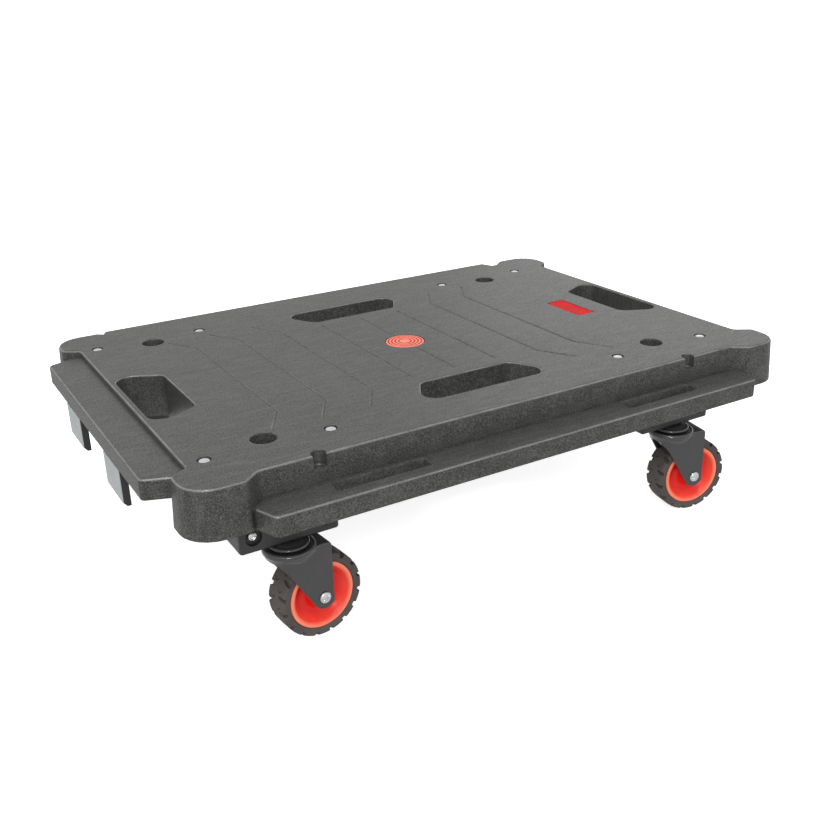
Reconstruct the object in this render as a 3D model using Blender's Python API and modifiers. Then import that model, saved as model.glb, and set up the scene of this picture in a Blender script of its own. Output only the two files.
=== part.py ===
"""Connectable platform dolly with four swivel casters.

A moulded deck has hook flanges on two sides and slotted ledges on the other two. Metres, +Z up,
origin on the floor under the middle of the deck, long side along X.
"""

import math

import bmesh
import bpy
from mathutils import Matrix, Vector

MM = 0.001

# Heights above the floor
DECK_TOP = 178.0 * MM
DECK_BOTTOM = 133.4 * MM
FLANGE_TOP = 171.8 * MM
FLANGE_BOTTOM = 152.8 * MM
LEDGE_TOP = 152.3 * MM
SKIN = 5.5 * MM

# Plan of the deck, as half sizes
WALL_X = 307.4 * MM
WALL_Y = 210.0 * MM
BUMPER_X = 323.7 * MM
BUMPER_Y = 222.6 * MM
OVERHANG = 35.5 * MM
LONG_WALL_END = 261.0 * MM
LONG_BUMPER_END = 276.0 * MM
SHORT_WALL_END = 171.0 * MM
SHORT_BUMPER_END = 181.5 * MM
CORNER_RADIUS = 27.0 * MM
DRAFT = 2.2 * MM
EDGE_ROUND = 2.4 * MM
RIM_ROUND = 2.2 * MM
SIDE_ROOT_SHORT = 175.0 * MM
SIDE_TIP_SHORT = 161.5 * MM
SIDE_ROOT_LONG = LONG_BUMPER_END
SIDE_TIP_LONG = 263.0 * MM
SIDE_INTO_WALL = 8.0 * MM

# A quarter round drawn as two chords: where they meet, as shares of its radius
CHORD_DOWN = 0.35
CHORD_IN = 0.24

# How far cutters reach past what they cut. Each kind of pocket has its own floor.
PAST_TOP = 2.0 * MM
PAST_BOTTOM = 5.0 * MM
PAST_BOTTOM_EARS = 6.0 * MM
PAST_BOTTOM_CELLS = 7.0 * MM

# Handle openings: distance of the outer and inner side from the middle, and their half lengths
END_HANDLE = (301.4 * MM, 255.4 * MM, 72.0 * MM, 48.5 * MM)
SIDE_HANDLE = (160.5 * MM, 116.5 * MM, 76.0 * MM, 51.0 * MM)
SIDE_HANDLE_X = -4.0 * MM
HANDLE_OUTER_RADIUS = 13.0 * MM
HANDLE_INNER_RADIUS = 8.0 * MM

# Grooves across the deck
GROOVE_FIRST_X = -199.0 * MM
GROOVE_PITCH = 48.5 * MM
GROOVE_WIDTH = 3.0 * MM
GROOVE_DEPTH = 1.2 * MM
GROOVE_TAPER = 0.9 * MM
GROOVE_TO_DISC = 6.0 * MM
GROOVE_BENT_HALF = 106.0 * MM
GROOVE_PLAIN_HALF = 100.0 * MM
GROOVE_BEND_Y = 143.0 * MM
GROOVE_BEND_X = 21.0 * MM
GROOVE_LEFT_BENT = 3
GROOVE_PLAIN_LAST = 5
GROOVE_COUNT = 8

# Centre disc and label plate
DISC_AT = (-5.0 * MM, -1.0 * MM)
DISC_RADIUS = 20.6 * MM
DISC_BED = 21.2 * MM
DISC_RINGS = 3
DISC_RING_HALF = 1.2 * MM
DISC_RING_DEEP = 0.4 * MM
DISC_EDGE = (0.5 * MM, 0.4 * MM)
DISC_SIDES = 28
LABEL_AT = (215.5 * MM, -6.5 * MM)
LABEL_SIZE = (23.0 * MM, 59.0 * MM)
LABEL_CLEAR = 0.4 * MM
LABEL_EDGE = 0.4 * MM
INLAY_DEPTH = 1.5 * MM
GAP = 0.3 * MM

# Ribs under the deck: fields of cells as (x from, x to, columns, y from, y to, rows), on both sides
RIB = 3.5 * MM
CELLS_INTO_SKIN = 0.4 * MM
CELL_FIELDS = (
    (-250.0 * MM, 250.0 * MM, 8, 4.0 * MM, 111.0 * MM, 2),
    (-161.0 * MM, -86.0 * MM, 2, 115.0 * MM, 204.5 * MM, 2),
    (78.0 * MM, 132.0 * MM, 1, 115.0 * MM, 204.5 * MM, 2),
    (-82.0 * MM, 74.0 * MM, 3, 165.5 * MM, 204.5 * MM, 1),
    (-302.0 * MM, -254.0 * MM, 1, 80.0 * MM, 111.0 * MM, 1),
    (-302.0 * MM, -284.5 * MM, 1, 113.0 * MM, 149.0 * MM, 1),
    (254.0 * MM, 302.0 * MM, 1, 80.0 * MM, 111.0 * MM, 1),
    (255.5 * MM, 302.0 * MM, 1, 113.0 * MM, 149.0 * MM, 1),
    (275.5 * MM, 302.0 * MM, 1, 153.0 * MM, 204.5 * MM, 1),
)

# Slots in the ledges and hooks under the flanges
LINK_MIDDLE_X = -2.4 * MM
LINK_HALF_X = 155.0 * MM
LINK_HALF_Y = 68.5 * MM
SLOT_HALF = 44.5 * MM
SLOT_NEAR = 5.7 * MM
SLOT_FAR = 20.9 * MM
HOOK_HALF = 25.5 * MM
HOOK_THICK = 7.1 * MM
HOOK_BOTTOM = 117.8 * MM
HOOK_LIP = 3.0 * MM
HOOK_FOOT = (7.0 * MM, 9.0 * MM)

# Notches in the top edge of the near long side
NOTCH_XS = (-207.0 * MM, 204.0 * MM)
NOTCH_RADIUS = 6.2 * MM
NOTCH_Y = -207.0 * MM
NOTCH_DEEP = 13.0 * MM
NOTCH_OUT = -218.0 * MM
NOTCH_TAPER = 0.5 * MM

# Casters: swivel axes, resting swivel angles, blocks and their fasteners
PATTERN_X = -14.25 * MM
CASTER_X = 218.55 * MM
CASTER_Y = 191.0 * MM
CASTERS = (
    ("front_left", -1, -1, 5.6),
    ("front_right", 1, -1, -9.8),
    ("rear_left", -1, 1, 4.0),
    ("rear_right", 1, 1, -7.0),
)
BLOCK_HALF_X = 45.5 * MM
BLOCK_FRONT = 197.2 * MM
BLOCK_BACK = 127.0 * MM
BLOCK_BOTTOM = 98.3 * MM
EAR_HALF_X = 66.0 * MM
EAR_Y = (154.0 * MM, 179.5 * MM)
EAR_THICK = 13.0 * MM
EAR_DOWN = 0.3 * MM
POCKET_CLEAR = 1.2 * MM
EAR_POCKET_DOWN = 0.05 * MM
BLOCK_EDGE = 2.0 * MM
BOLT_DX = 57.0 * MM
BOLT_Y = 166.7 * MM
BOLT_HEAD = (5.3 * MM, 4.2 * MM)
BOLT_SHANK = (2.4 * MM, 20.0 * MM)
BOLT_BORE_DECK = 3.3 * MM
BOLT_BORE_BLOCK = 2.8 * MM
BOLT_BORE_DEEP = 18.0 * MM
COUNTERBORE = 1.7 * MM
COUNTERBORE_RADIUS = 6.5 * MM
WELL_Y = 153.9 * MM
WELL_RADIUS = 11.4 * MM
WELL_DEPTH = 22.0 * MM
COLLAR_WALL = 1.8 * MM
COLLAR_LONG = 12.0 * MM
COLLAR_CLEAR = 0.5 * MM
SCREW_DX = 32.5 * MM
SCREW_Z = 112.1 * MM
SCREW_HEAD = (4.6 * MM, 3.8 * MM, 3.0 * MM)
SCREW_SHANK = (2.0 * MM, 15.0 * MM)
SCREW_RECESS = 7.3 * MM
SCREW_RECESS_DEEP = 4.5 * MM
SCREW_BORE = 2.5 * MM
SCREW_BORE_DEEP = 22.0 * MM

# One caster, about its swivel axis, with +X toward the wheel
TRAIL = 22.0 * MM
WHEEL_RADIUS = 40.0 * MM
TYRE_HALF = 13.2 * MM
RIM_RADIUS = 31.5 * MM
CORE_HALF = 12.7 * MM
LUGS = 16
GAP_RADIUS = 37.4 * MM
FORK_OUTER = 17.0 * MM
FORK_METAL = 2.5 * MM
FORK_NOSE = 20.5 * MM
FORK_BACK = 31.5 * MM
FORK_TOP = 92.3 * MM
FORK_BEAD = (20.6 * MM, 91.2 * MM, 2.9 * MM)
LEG_END = 11.0 * MM
LEG_BACK_RISE = 4.0 * MM
LEG_NOSE_Z = 86.5 * MM
LEG_HIP = (-12.0 * MM, 76.0 * MM)
RACE_OUTER = 17.2 * MM
RACE_WALL = 2.2 * MM
RACE_LIP = 93.7 * MM
RACE_EDGE = (1.5 * MM, 1.2 * MM)
BALL_MIDDLE = 12.2 * MM
BALL_RADIUS = 1.5 * MM
PIN_RADIUS = 3.0 * MM
PIN_RISE = 15.0 * MM
PIN_BORE_RISE = 16.0 * MM
PIN_HEAD = (6.0 * MM, 5.0 * MM, 3.6 * MM)
AXLE_RADIUS = 3.5 * MM
AXLE_HEAD = ((2.6 * MM, 2.5 * MM), (4.6 * MM, 1.5 * MM), (5.4 * MM, 0.0))
AXLE_HEAD_TALL = 2.8 * MM
AXLE_PAST_FORK = 5.0 * MM
NUT_CORNER = 6.6 * MM
NUT_THICK = 4.2 * MM
TYRE_SHOULDER = (3.0 * MM, 4.5 * MM)
LUG_SHARES = (0.06, 0.70, 0.75, 1.0)

# Sides of round pieces
ROUND = 24
ROUND_SMALL = 12
ROUND_BORE = 8


def clear_scene():
    for found in list(bpy.data.objects):
        bpy.data.objects.remove(found, do_unlink=True)


def new_collection(name, hidden):
    made = bpy.data.collections.new(name)
    bpy.context.scene.collection.children.link(made)
    made.hide_render = hidden
    return made


def material(name, colour, roughness, metallic=0.0):
    made = bpy.data.materials.get(name)
    if made:
        return made
    made = bpy.data.materials.new(name)
    made.use_nodes = True
    shader = made.node_tree.nodes["Principled BSDF"]
    shader.inputs["Base Color"].default_value = (*colour, 1.0)
    shader.inputs["Roughness"].default_value = roughness
    shader.inputs["Metallic"].default_value = metallic
    return made


def deck_plastic(name):
    return material(name, (0.075, 0.075, 0.072), 0.62)


def black_plastic(name):
    return material(name, (0.035, 0.035, 0.036), 0.5)


def red_plastic(name):
    return material(name, (0.8, 0.03, 0.03), 0.4)


def coral_plastic(name):
    return material(name, (0.86, 0.12, 0.08), 0.35)


def tyre_rubber(name):
    return material(name, (0.05, 0.042, 0.04), 0.75)


def black_steel(name):
    return material(name, (0.04, 0.04, 0.043), 0.35, 0.6)


def zinc_steel(name):
    return material(name, (0.75, 0.76, 0.77), 0.3, 1.0)


def raw_steel(name):
    return material(name, (0.5, 0.5, 0.51), 0.35, 1.0)


def place(name, mesh, look=None):
    made = bpy.data.objects.new(name, mesh)
    if look:
        PARTS.objects.link(made)
        mesh.materials.append(look)
    else:
        CUTTERS.objects.link(made)
        made.hide_render = True
        made.display_type = "WIRE"
    return made


def mesh_of(shape, name):
    mesh = bpy.data.meshes.new(name)
    bmesh.ops.recalc_face_normals(shape, faces=shape.faces)
    shape.to_mesh(mesh)
    shape.free()
    return mesh


def add_box(shape, low, high):
    size = [high[i] - low[i] for i in range(3)]
    middle = [(high[i] + low[i]) / 2 for i in range(3)]
    where = Matrix.Translation(middle) @ Matrix.Diagonal((*size, 1.0))
    bmesh.ops.create_cube(shape, size=1.0, matrix=where)


def add_rod(shape, start, end, radius, end_radius=None, sides=ROUND):
    axis = Vector(end) - Vector(start)
    turn = axis.to_track_quat("Z", "Y").to_matrix().to_4x4()
    where = Matrix.Translation((Vector(start) + Vector(end)) / 2) @ turn
    top = radius if end_radius is None else end_radius
    bmesh.ops.create_cone(
        shape, cap_ends=True, segments=sides, radius1=radius, radius2=top, depth=axis.length, matrix=where
    )


def miter(points, distance):
    """The closed outline moved outward by the distance, with its corners kept."""
    moved = []
    count = len(points)
    for i in range(count):
        before = Vector(points[i]) - Vector(points[i - 1])
        after = Vector(points[(i + 1) % count]) - Vector(points[i])
        first = Vector((before.y, -before.x)).normalized()
        second = Vector((after.y, -after.x)).normalized()
        out = (first + second) / (1.0 + first.dot(second))
        moved.append((points[i][0] + out.x * distance, points[i][1] + out.y * distance))
    return moved


def add_prism(shape, outline, levels):
    """A closed body through the outline at each (height, outward offset), from the bottom up."""
    rings = []
    for height, offset in levels:
        ring = miter(outline, offset) if offset else outline
        rings.append([shape.verts.new((x, y, height)) for x, y in ring])
    count = len(outline)
    for low, high in zip(rings, rings[1:]):
        for i in range(count):
            j = (i + 1) % count
            shape.faces.new((low[i], low[j], high[j], high[i]))
    shape.faces.new(rings[-1])
    shape.faces.new(list(reversed(rings[0])))
    return rings


def prism_mesh(name, outline, levels):
    shape = bmesh.new()
    add_prism(shape, outline, levels)
    return mesh_of(shape, name)


def arc(centre, radius, start, end, steps):
    points = []
    for i in range(steps + 1):
        angle = math.radians(start + (end - start) * i / steps)
        points.append((centre[0] + radius * math.cos(angle), centre[1] + radius * math.sin(angle)))
    return points


def rounded(corners, radii, steps):
    """The polygon, counterclockwise, with each corner turned into an arc of its radius."""
    points = []
    count = len(corners)
    for i in range(count):
        corner = Vector(corners[i])
        back = (Vector(corners[i - 1]) - corner).normalized()
        ahead = (Vector(corners[(i + 1) % count]) - corner).normalized()
        half = back.angle(ahead) / 2
        reach = radii[i] / math.tan(half)
        centre = corner + (back + ahead).normalized() * (radii[i] / math.sin(half))
        first = corner + back * reach - centre
        last = corner + ahead * reach - centre
        turn = first.angle_signed(last)
        for k in range(steps + 1):
            point = centre + Matrix.Rotation(-turn * k / steps, 2) @ first
            points.append((point.x, point.y))
    return points


def cut(target, cutter, operation="DIFFERENCE"):
    modifier = target.modifiers.new(operation.lower() + "_" + cutter.name, "BOOLEAN")
    modifier.operation = operation
    modifier.object = cutter
    modifier.solver = "EXACT"


def smooth(target, angle=35.0):
    target.data.shade_smooth()
    target.data.set_sharp_from_angle(angle=math.radians(angle))


def turned(name, profile, at, axis, look, steps=ROUND):
    """A profile of (radius, distance along the axis) turned about the axis through a point."""
    mesh = bpy.data.meshes.new(name)
    points = [(r, 0.0, h) for r, h in profile]
    mesh.from_pydata(points, [(i, i + 1) for i in range(len(points) - 1)], [])
    made = place(name, mesh, look)
    made.location = at
    made.rotation_euler = Vector(axis).to_track_quat("Z", "X").to_euler()
    screw = made.modifiers.new("turn", "SCREW")
    screw.axis = "Z"
    screw.steps = steps
    screw.render_steps = steps
    screw.use_merge_vertices = True
    screw.merge_threshold = 0.00001
    screw.use_smooth_shade = True
    return made


# The deck


def bumper_corner(sign_x, sign_y):
    """One corner of the body outline, from its long side to its short side."""
    centre = (BUMPER_X - CORNER_RADIUS, BUMPER_Y - CORNER_RADIUS)
    points = [(LONG_WALL_END, WALL_Y), (LONG_BUMPER_END, BUMPER_Y)]
    points += arc(centre, CORNER_RADIUS, 90.0, 0.0, 6)
    points += [(BUMPER_X, SHORT_BUMPER_END), (WALL_X, SHORT_WALL_END)]
    return [(x * sign_x, y * sign_y) for x, y in points]


def body_outline():
    points = bumper_corner(1, 1)[::-1]
    points += bumper_corner(-1, 1)
    points += bumper_corner(-1, -1)[::-1]
    points += bumper_corner(1, -1)
    return points


def side_outline(wall, overhang, wall_end, outer_end):
    """A trapezoid on the side of the body, with its root well inside it. Along +X; its width is along Y."""
    root = wall - SIDE_INTO_WALL
    tip = wall + overhang
    half = [(root, wall_end), (wall, wall_end), (tip, outer_end)]
    return [(x, -y) for x, y in half] + half[::-1]


def turn_outline(points, quarter):
    angle = math.radians(90.0 * quarter)
    cos = round(math.cos(angle))
    sin = round(math.sin(angle))
    return [(x * cos - y * sin, x * sin + y * cos) for x, y in points]


def edge_levels(bottom, top, draft):
    """Levels of a wall with a slight flare downward and a rounded top edge."""
    return [
        (bottom, draft - 1.0 * MM),
        (bottom + 1.0 * MM, draft),
        (top - EDGE_ROUND, 0.0),
        (top - CHORD_DOWN * EDGE_ROUND, -CHORD_IN * EDGE_ROUND),
        (top, -EDGE_ROUND),
    ]


def side_pieces():
    """Flanges on the left and rear, ledges on the right and near side, to be joined to the body."""
    short = side_outline(WALL_X, OVERHANG, SIDE_ROOT_SHORT, SIDE_TIP_SHORT)
    long = side_outline(WALL_Y, OVERHANG, SIDE_ROOT_LONG, SIDE_TIP_LONG)
    flange = edge_levels(FLANGE_BOTTOM, FLANGE_TOP, 0.0)
    ledge = edge_levels(DECK_BOTTOM + 0.4 * MM, LEDGE_TOP, 0.0)
    pieces = (
        ("flange_left", turn_outline(short, 2), flange),
        ("flange_rear", turn_outline(long, 1), flange),
        ("ledge_right", turn_outline(short, 0), ledge),
        ("ledge_near", turn_outline(long, 3), ledge),
    )
    return [place("join_" + name, prism_mesh(name, outline, levels)) for name, outline, levels in pieces]


def handle_outline(handle, shift, quarter):
    outer, inner, outer_half, inner_half = handle
    corners = [(inner, -inner_half), (outer, -outer_half), (outer, outer_half), (inner, inner_half)]
    radii = (HANDLE_INNER_RADIUS, HANDLE_OUTER_RADIUS, HANDLE_OUTER_RADIUS, HANDLE_INNER_RADIUS)
    points = turn_outline(rounded(corners, radii, 3), quarter)
    return [(x + shift, y) for x, y in points]


def handle_cutter():
    shape = bmesh.new()
    levels = [
        (DECK_BOTTOM - PAST_BOTTOM, 0.0),
        (DECK_TOP - RIM_ROUND, 0.0),
        (DECK_TOP - CHORD_DOWN * RIM_ROUND, CHORD_IN * RIM_ROUND),
        (DECK_TOP, RIM_ROUND),
        (DECK_TOP + PAST_TOP, RIM_ROUND + PAST_TOP),
    ]
    for handle, shift, quarter in (
        (END_HANDLE, 0.0, 0),
        (END_HANDLE, 0.0, 2),
        (SIDE_HANDLE, SIDE_HANDLE_X, 1),
        (SIDE_HANDLE, SIDE_HANDLE_X, 3),
    ):
        add_prism(shape, handle_outline(handle, shift, quarter), levels)
    return place("cut_handles", mesh_of(shape, "cut_handles"))


def strip(points, width):
    """The outline of a band of the given width along a polyline."""
    left = []
    right = []
    for i, point in enumerate(points):
        here = Vector(point)
        before = here - Vector(points[i - 1]) if i else Vector(points[1]) - here
        after = Vector(points[i + 1]) - here if i + 1 < len(points) else before
        first = Vector((-before.y, before.x)).normalized()
        second = Vector((-after.y, after.x)).normalized()
        side = (first + second) / (1.0 + first.dot(second)) * (width / 2)
        left.append(tuple(here + side))
        right.append(tuple(here - side))
    return right + left[::-1]


def groove_lines():
    lines = []
    for i in range(GROOVE_COUNT):
        x = GROOVE_FIRST_X + GROOVE_PITCH * i
        plain = GROOVE_LEFT_BENT <= i <= GROOVE_PLAIN_LAST
        if not plain:
            bend = x - GROOVE_BEND_X if i < GROOVE_LEFT_BENT else x + GROOVE_BEND_X
            half = GROOVE_BENT_HALF
            lines.append([(bend, -GROOVE_BEND_Y), (x, -half), (x, half), (bend, GROOVE_BEND_Y)])
        elif abs(x - DISC_AT[0]) < DISC_RADIUS:
            stop = DISC_RADIUS + GROOVE_TO_DISC
            lines.append([(x, -GROOVE_PLAIN_HALF), (x, DISC_AT[1] - stop)])
            lines.append([(x, DISC_AT[1] + stop), (x, GROOVE_PLAIN_HALF)])
        else:
            lines.append([(x, -GROOVE_PLAIN_HALF), (x, GROOVE_PLAIN_HALF)])
    return lines


def top_cutter():
    """Grooves, the beds of the disc and the label, and the counterbores of the deck bolts."""
    shape = bmesh.new()
    levels = [
        (DECK_TOP - GROOVE_DEPTH, -GROOVE_TAPER),
        (DECK_TOP, 0.0),
        (DECK_TOP + PAST_TOP, 0.0),
    ]
    for line in groove_lines():
        add_prism(shape, strip(line, GROOVE_WIDTH), levels)
    bed = DECK_TOP - INLAY_DEPTH
    above = DECK_TOP + PAST_TOP
    add_rod(shape, (*DISC_AT, bed), (*DISC_AT, above), DISC_BED, sides=DISC_SIDES)
    half = [size / 2 + LABEL_CLEAR for size in LABEL_SIZE]
    low = (LABEL_AT[0] - half[0], LABEL_AT[1] - half[1], bed)
    high = (LABEL_AT[0] + half[0], LABEL_AT[1] + half[1], above)
    add_box(shape, low, high)
    for x, y in bolt_places():
        seat = (x, y, DECK_TOP - COUNTERBORE)
        add_rod(shape, seat, (x, y, above), COUNTERBORE_RADIUS, sides=ROUND_SMALL)
    return place("cut_top", mesh_of(shape, "cut_top"))


def caster_at(sign_x, sign_y):
    return PATTERN_X + sign_x * CASTER_X, sign_y * CASTER_Y


def bolt_places():
    places = []
    for _, sign_x, sign_y, _ in CASTERS:
        x = caster_at(sign_x, sign_y)[0]
        places += [(x - BOLT_DX, sign_y * BOLT_Y), (x + BOLT_DX, sign_y * BOLT_Y)]
    return places


def add_box_y(shape, xs, sign_y, ys, zs):
    """A box whose Y range is given for the far side and mirrored to the near side by the sign."""
    low, high = sorted((sign_y * ys[0], sign_y * ys[1]))
    add_box(shape, (xs[0], low, zs[0]), (xs[1], high, zs[1]))


def around(middle, half):
    return middle - half, middle + half


def pocket_cutter():
    """Room for the caster blocks under the skin."""
    shape = bmesh.new()
    heights = (DECK_BOTTOM - PAST_BOTTOM, DECK_TOP - SKIN)
    depths = (BLOCK_BACK - POCKET_CLEAR, BLOCK_FRONT + POCKET_CLEAR)
    for _, sign_x, sign_y, _ in CASTERS:
        x = caster_at(sign_x, sign_y)[0]
        add_box_y(shape, around(x, BLOCK_HALF_X + POCKET_CLEAR), sign_y, depths, heights)
    return place("cut_pockets", mesh_of(shape, "cut_pockets"))


def ear_cutter():
    """Room for the ears of the caster blocks."""
    shape = bmesh.new()
    heights = (DECK_BOTTOM - PAST_BOTTOM_EARS, DECK_TOP - SKIN - EAR_POCKET_DOWN)
    depths = (EAR_Y[0] - POCKET_CLEAR, EAR_Y[1] + POCKET_CLEAR)
    for _, sign_x, sign_y, _ in CASTERS:
        x = caster_at(sign_x, sign_y)[0]
        add_box_y(shape, around(x, EAR_HALF_X + POCKET_CLEAR), sign_y, depths, heights)
    return place("cut_ears", mesh_of(shape, "cut_ears"))


def well_places():
    return [(caster_at(sign_x, sign_y)[0], sign_y * WELL_Y) for _, sign_x, sign_y, _ in CASTERS]


def well_collars():
    """Short sleeves hanging from the skin around the round openings."""
    shape = bmesh.new()
    low = DECK_TOP - SKIN - COLLAR_LONG
    high = DECK_TOP - SKIN / 2
    for x, y in well_places():
        add_rod(shape, (x, y, low), (x, y, high), WELL_RADIUS + COLLAR_WALL)
    return place("join_collars", mesh_of(shape, "join_collars"))


def hole_cutter():
    """Round openings over the casters, bolt holes and the slots of the ledges."""
    shape = bmesh.new()
    over = DECK_TOP + PAST_TOP
    for x, y in well_places():
        under = DECK_TOP - SKIN - COLLAR_LONG - PAST_TOP
        add_rod(shape, (x, y, under), (x, y, over), WELL_RADIUS)
    for x, y in bolt_places():
        under = DECK_TOP - SKIN - PAST_TOP
        add_rod(shape, (x, y, under), (x, y, DECK_TOP - COUNTERBORE / 2), BOLT_BORE_DECK, sides=ROUND_BORE)
    low = DECK_BOTTOM - PAST_BOTTOM
    high = LEDGE_TOP + PAST_TOP
    for side in (-1, 1):
        xs = around(LINK_MIDDLE_X + side * LINK_HALF_X, SLOT_HALF)
        add_box(shape, (xs[0], -WALL_Y - SLOT_FAR, low), (xs[1], -WALL_Y - SLOT_NEAR, high))
        ys = around(side * LINK_HALF_Y, SLOT_HALF)
        add_box(shape, (WALL_X + SLOT_NEAR, ys[0], low), (WALL_X + SLOT_FAR, ys[1], high))
    return place("cut_holes", mesh_of(shape, "cut_holes"))


def notch_cutter():
    shape = bmesh.new()
    for x in NOTCH_XS:
        outline = arc((x, NOTCH_Y), NOTCH_RADIUS, 0.0, 180.0, 8)
        outline += [(x - NOTCH_RADIUS, NOTCH_OUT), (x + NOTCH_RADIUS, NOTCH_OUT)]
        add_prism(shape, outline, [(DECK_TOP - NOTCH_DEEP, -NOTCH_TAPER), (DECK_TOP + PAST_TOP, 0.0)])
    return place("cut_notches", mesh_of(shape, "cut_notches"))


def cell_cutter():
    """The hollows between the ribs under the deck."""
    shape = bmesh.new()
    heights = (DECK_BOTTOM - PAST_BOTTOM_CELLS, DECK_TOP - SKIN + CELLS_INTO_SKIN)
    for x0, x1, columns, y0, y1, rows in CELL_FIELDS:
        step_x = (x1 - x0) / columns
        step_y = (y1 - y0) / rows
        for i in range(columns):
            for j in range(rows):
                xs = around(x0 + step_x * (i + 0.5), (step_x - RIB) / 2)
                ys = around(y0 + step_y * (j + 0.5), (step_y - RIB) / 2)
                for sign_y in (-1, 1):
                    add_box_y(shape, xs, sign_y, ys, heights)
    return place("cut_cells", mesh_of(shape, "cut_cells"))


def make_deck():
    mesh = prism_mesh("deck", body_outline(), edge_levels(DECK_BOTTOM, DECK_TOP, DRAFT))
    deck = place("deck", mesh, deck_plastic("deck_plastic"))
    for piece in side_pieces():
        cut(deck, piece, "UNION")
    for cutter in (pocket_cutter(), ear_cutter(), cell_cutter()):
        cut(deck, cutter)
    cut(deck, well_collars(), "UNION")
    for cutter in (hole_cutter(), notch_cutter(), handle_cutter(), top_cutter()):
        cut(deck, cutter)
    smooth(deck, 28.0)
    return deck


def make_disc():
    """A round inlay with raised rings."""
    thick = INLAY_DEPTH - GAP
    profile = [(0.0, thick)]
    for ring in range(1, DISC_RINGS):
        edge = DISC_RADIUS * ring / DISC_RINGS
        profile += [(edge - DISC_RING_HALF, thick), (edge, thick - DISC_RING_DEEP)]
        profile += [(edge + DISC_RING_HALF, thick)]
    profile += [(DISC_RADIUS - DISC_EDGE[0], thick), (DISC_RADIUS, thick - DISC_EDGE[1])]
    profile += [(DISC_RADIUS, 0.0), (0.0, 0.0)]
    at = (*DISC_AT, DECK_TOP - INLAY_DEPTH + GAP)
    return turned("centre_disc", profile, at, (0, 0, 1), coral_plastic("disc_plastic"), DISC_SIDES)


def make_label():
    """A thin plate with no marking, let into the deck."""
    shape = bmesh.new()
    half = (LABEL_SIZE[0] / 2, LABEL_SIZE[1] / 2)
    bottom = DECK_TOP - INLAY_DEPTH + GAP
    low = (LABEL_AT[0] - half[0], LABEL_AT[1] - half[1], bottom)
    add_box(shape, low, (LABEL_AT[0] + half[0], LABEL_AT[1] + half[1], DECK_TOP))
    label = place("label_plate", mesh_of(shape, "label_plate"), red_plastic("label_plastic"))
    bevel = label.modifiers.new("edges", "BEVEL")
    bevel.width = LABEL_EDGE
    bevel.segments = 1
    return label


# Hooks


def hook_profile():
    """Side view of a hook: (distance inward from the outer face, height)."""
    top = FLANGE_BOTTOM - GAP
    return [
        (0.0, HOOK_BOTTOM + HOOK_LIP),
        (HOOK_LIP, HOOK_BOTTOM),
        (HOOK_THICK, HOOK_BOTTOM),
        (HOOK_THICK, top - HOOK_FOOT[1]),
        (HOOK_THICK + HOOK_FOOT[0], top),
        (0.0, top),
    ]


def add_slab(shape, profile, half):
    """The side profile (inward, height) swept from -half to +half along Y, with inward along +X."""
    rings = []
    for y in (-half, half):
        rings.append([shape.verts.new((x, y, z)) for x, z in profile])
    count = len(profile)
    for i in range(count):
        j = (i + 1) % count
        shape.faces.new((rings[0][i], rings[0][j], rings[1][j], rings[1][i]))
    shape.faces.new(rings[0])
    shape.faces.new(rings[1][::-1])


def make_hooks():
    """Two under the left flange and two under the rear flange."""
    places = []
    for side, word in ((-1, "front"), (1, "rear")):
        places.append(("hook_left_" + word, (-WALL_X - OVERHANG, side * LINK_HALF_Y, 0.0), 0.0))
    for side, word in ((-1, "left"), (1, "right")):
        x = LINK_MIDDLE_X + side * LINK_HALF_X
        places.append(("hook_rear_" + word, (x, WALL_Y + OVERHANG, 0.0), -90.0))
    for name, at, angle in places:
        shape = bmesh.new()
        add_slab(shape, hook_profile(), HOOK_HALF)
        hook = place(name, mesh_of(shape, name), black_plastic("hook_plastic"))
        hook.location = at
        hook.rotation_euler = (0.0, 0.0, math.radians(angle))


# Caster blocks and fasteners


def block_holes(x, y, sign_y):
    """The well, the recesses of the front screws, the bores of the deck bolts and of the king pin."""
    roof = DECK_TOP - SKIN - GAP
    holes = bmesh.new()
    well = (x, sign_y * WELL_Y)
    around_collar = WELL_RADIUS + COLLAR_WALL + COLLAR_CLEAR
    add_rod(holes, (*well, roof - WELL_DEPTH), (*well, roof + PAST_TOP), around_collar)
    for side in (-1, 1):
        at = x + side * SCREW_DX
        outer = (at, sign_y * (BLOCK_FRONT + PAST_TOP), SCREW_Z)
        inner = (at, sign_y * (BLOCK_FRONT - SCREW_RECESS_DEEP), SCREW_Z)
        add_rod(holes, outer, inner, SCREW_RECESS, sides=ROUND_SMALL)
        bolt = (x + side * BOLT_DX, sign_y * BOLT_Y)
        deep = roof - BOLT_BORE_DEEP
        add_rod(holes, (*bolt, deep), (*bolt, roof + PAST_TOP), BOLT_BORE_BLOCK, sides=ROUND_BORE)
    pin_top = BLOCK_BOTTOM + PIN_BORE_RISE
    add_rod(holes, (x, y, BLOCK_BOTTOM - PAST_TOP), (x, y, pin_top), PIN_RADIUS + GAP, sides=ROUND_SMALL)
    return holes


def block_screw_bores(x, sign_y):
    bores = bmesh.new()
    for side in (-1, 1):
        at = x + side * SCREW_DX
        outer = (at, sign_y * (BLOCK_FRONT - SCREW_RECESS_DEEP / 2), SCREW_Z)
        inner = (at, sign_y * (BLOCK_FRONT - SCREW_BORE_DEEP), SCREW_Z)
        add_rod(bores, outer, inner, SCREW_BORE, sides=ROUND_BORE)
    return bores


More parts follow.
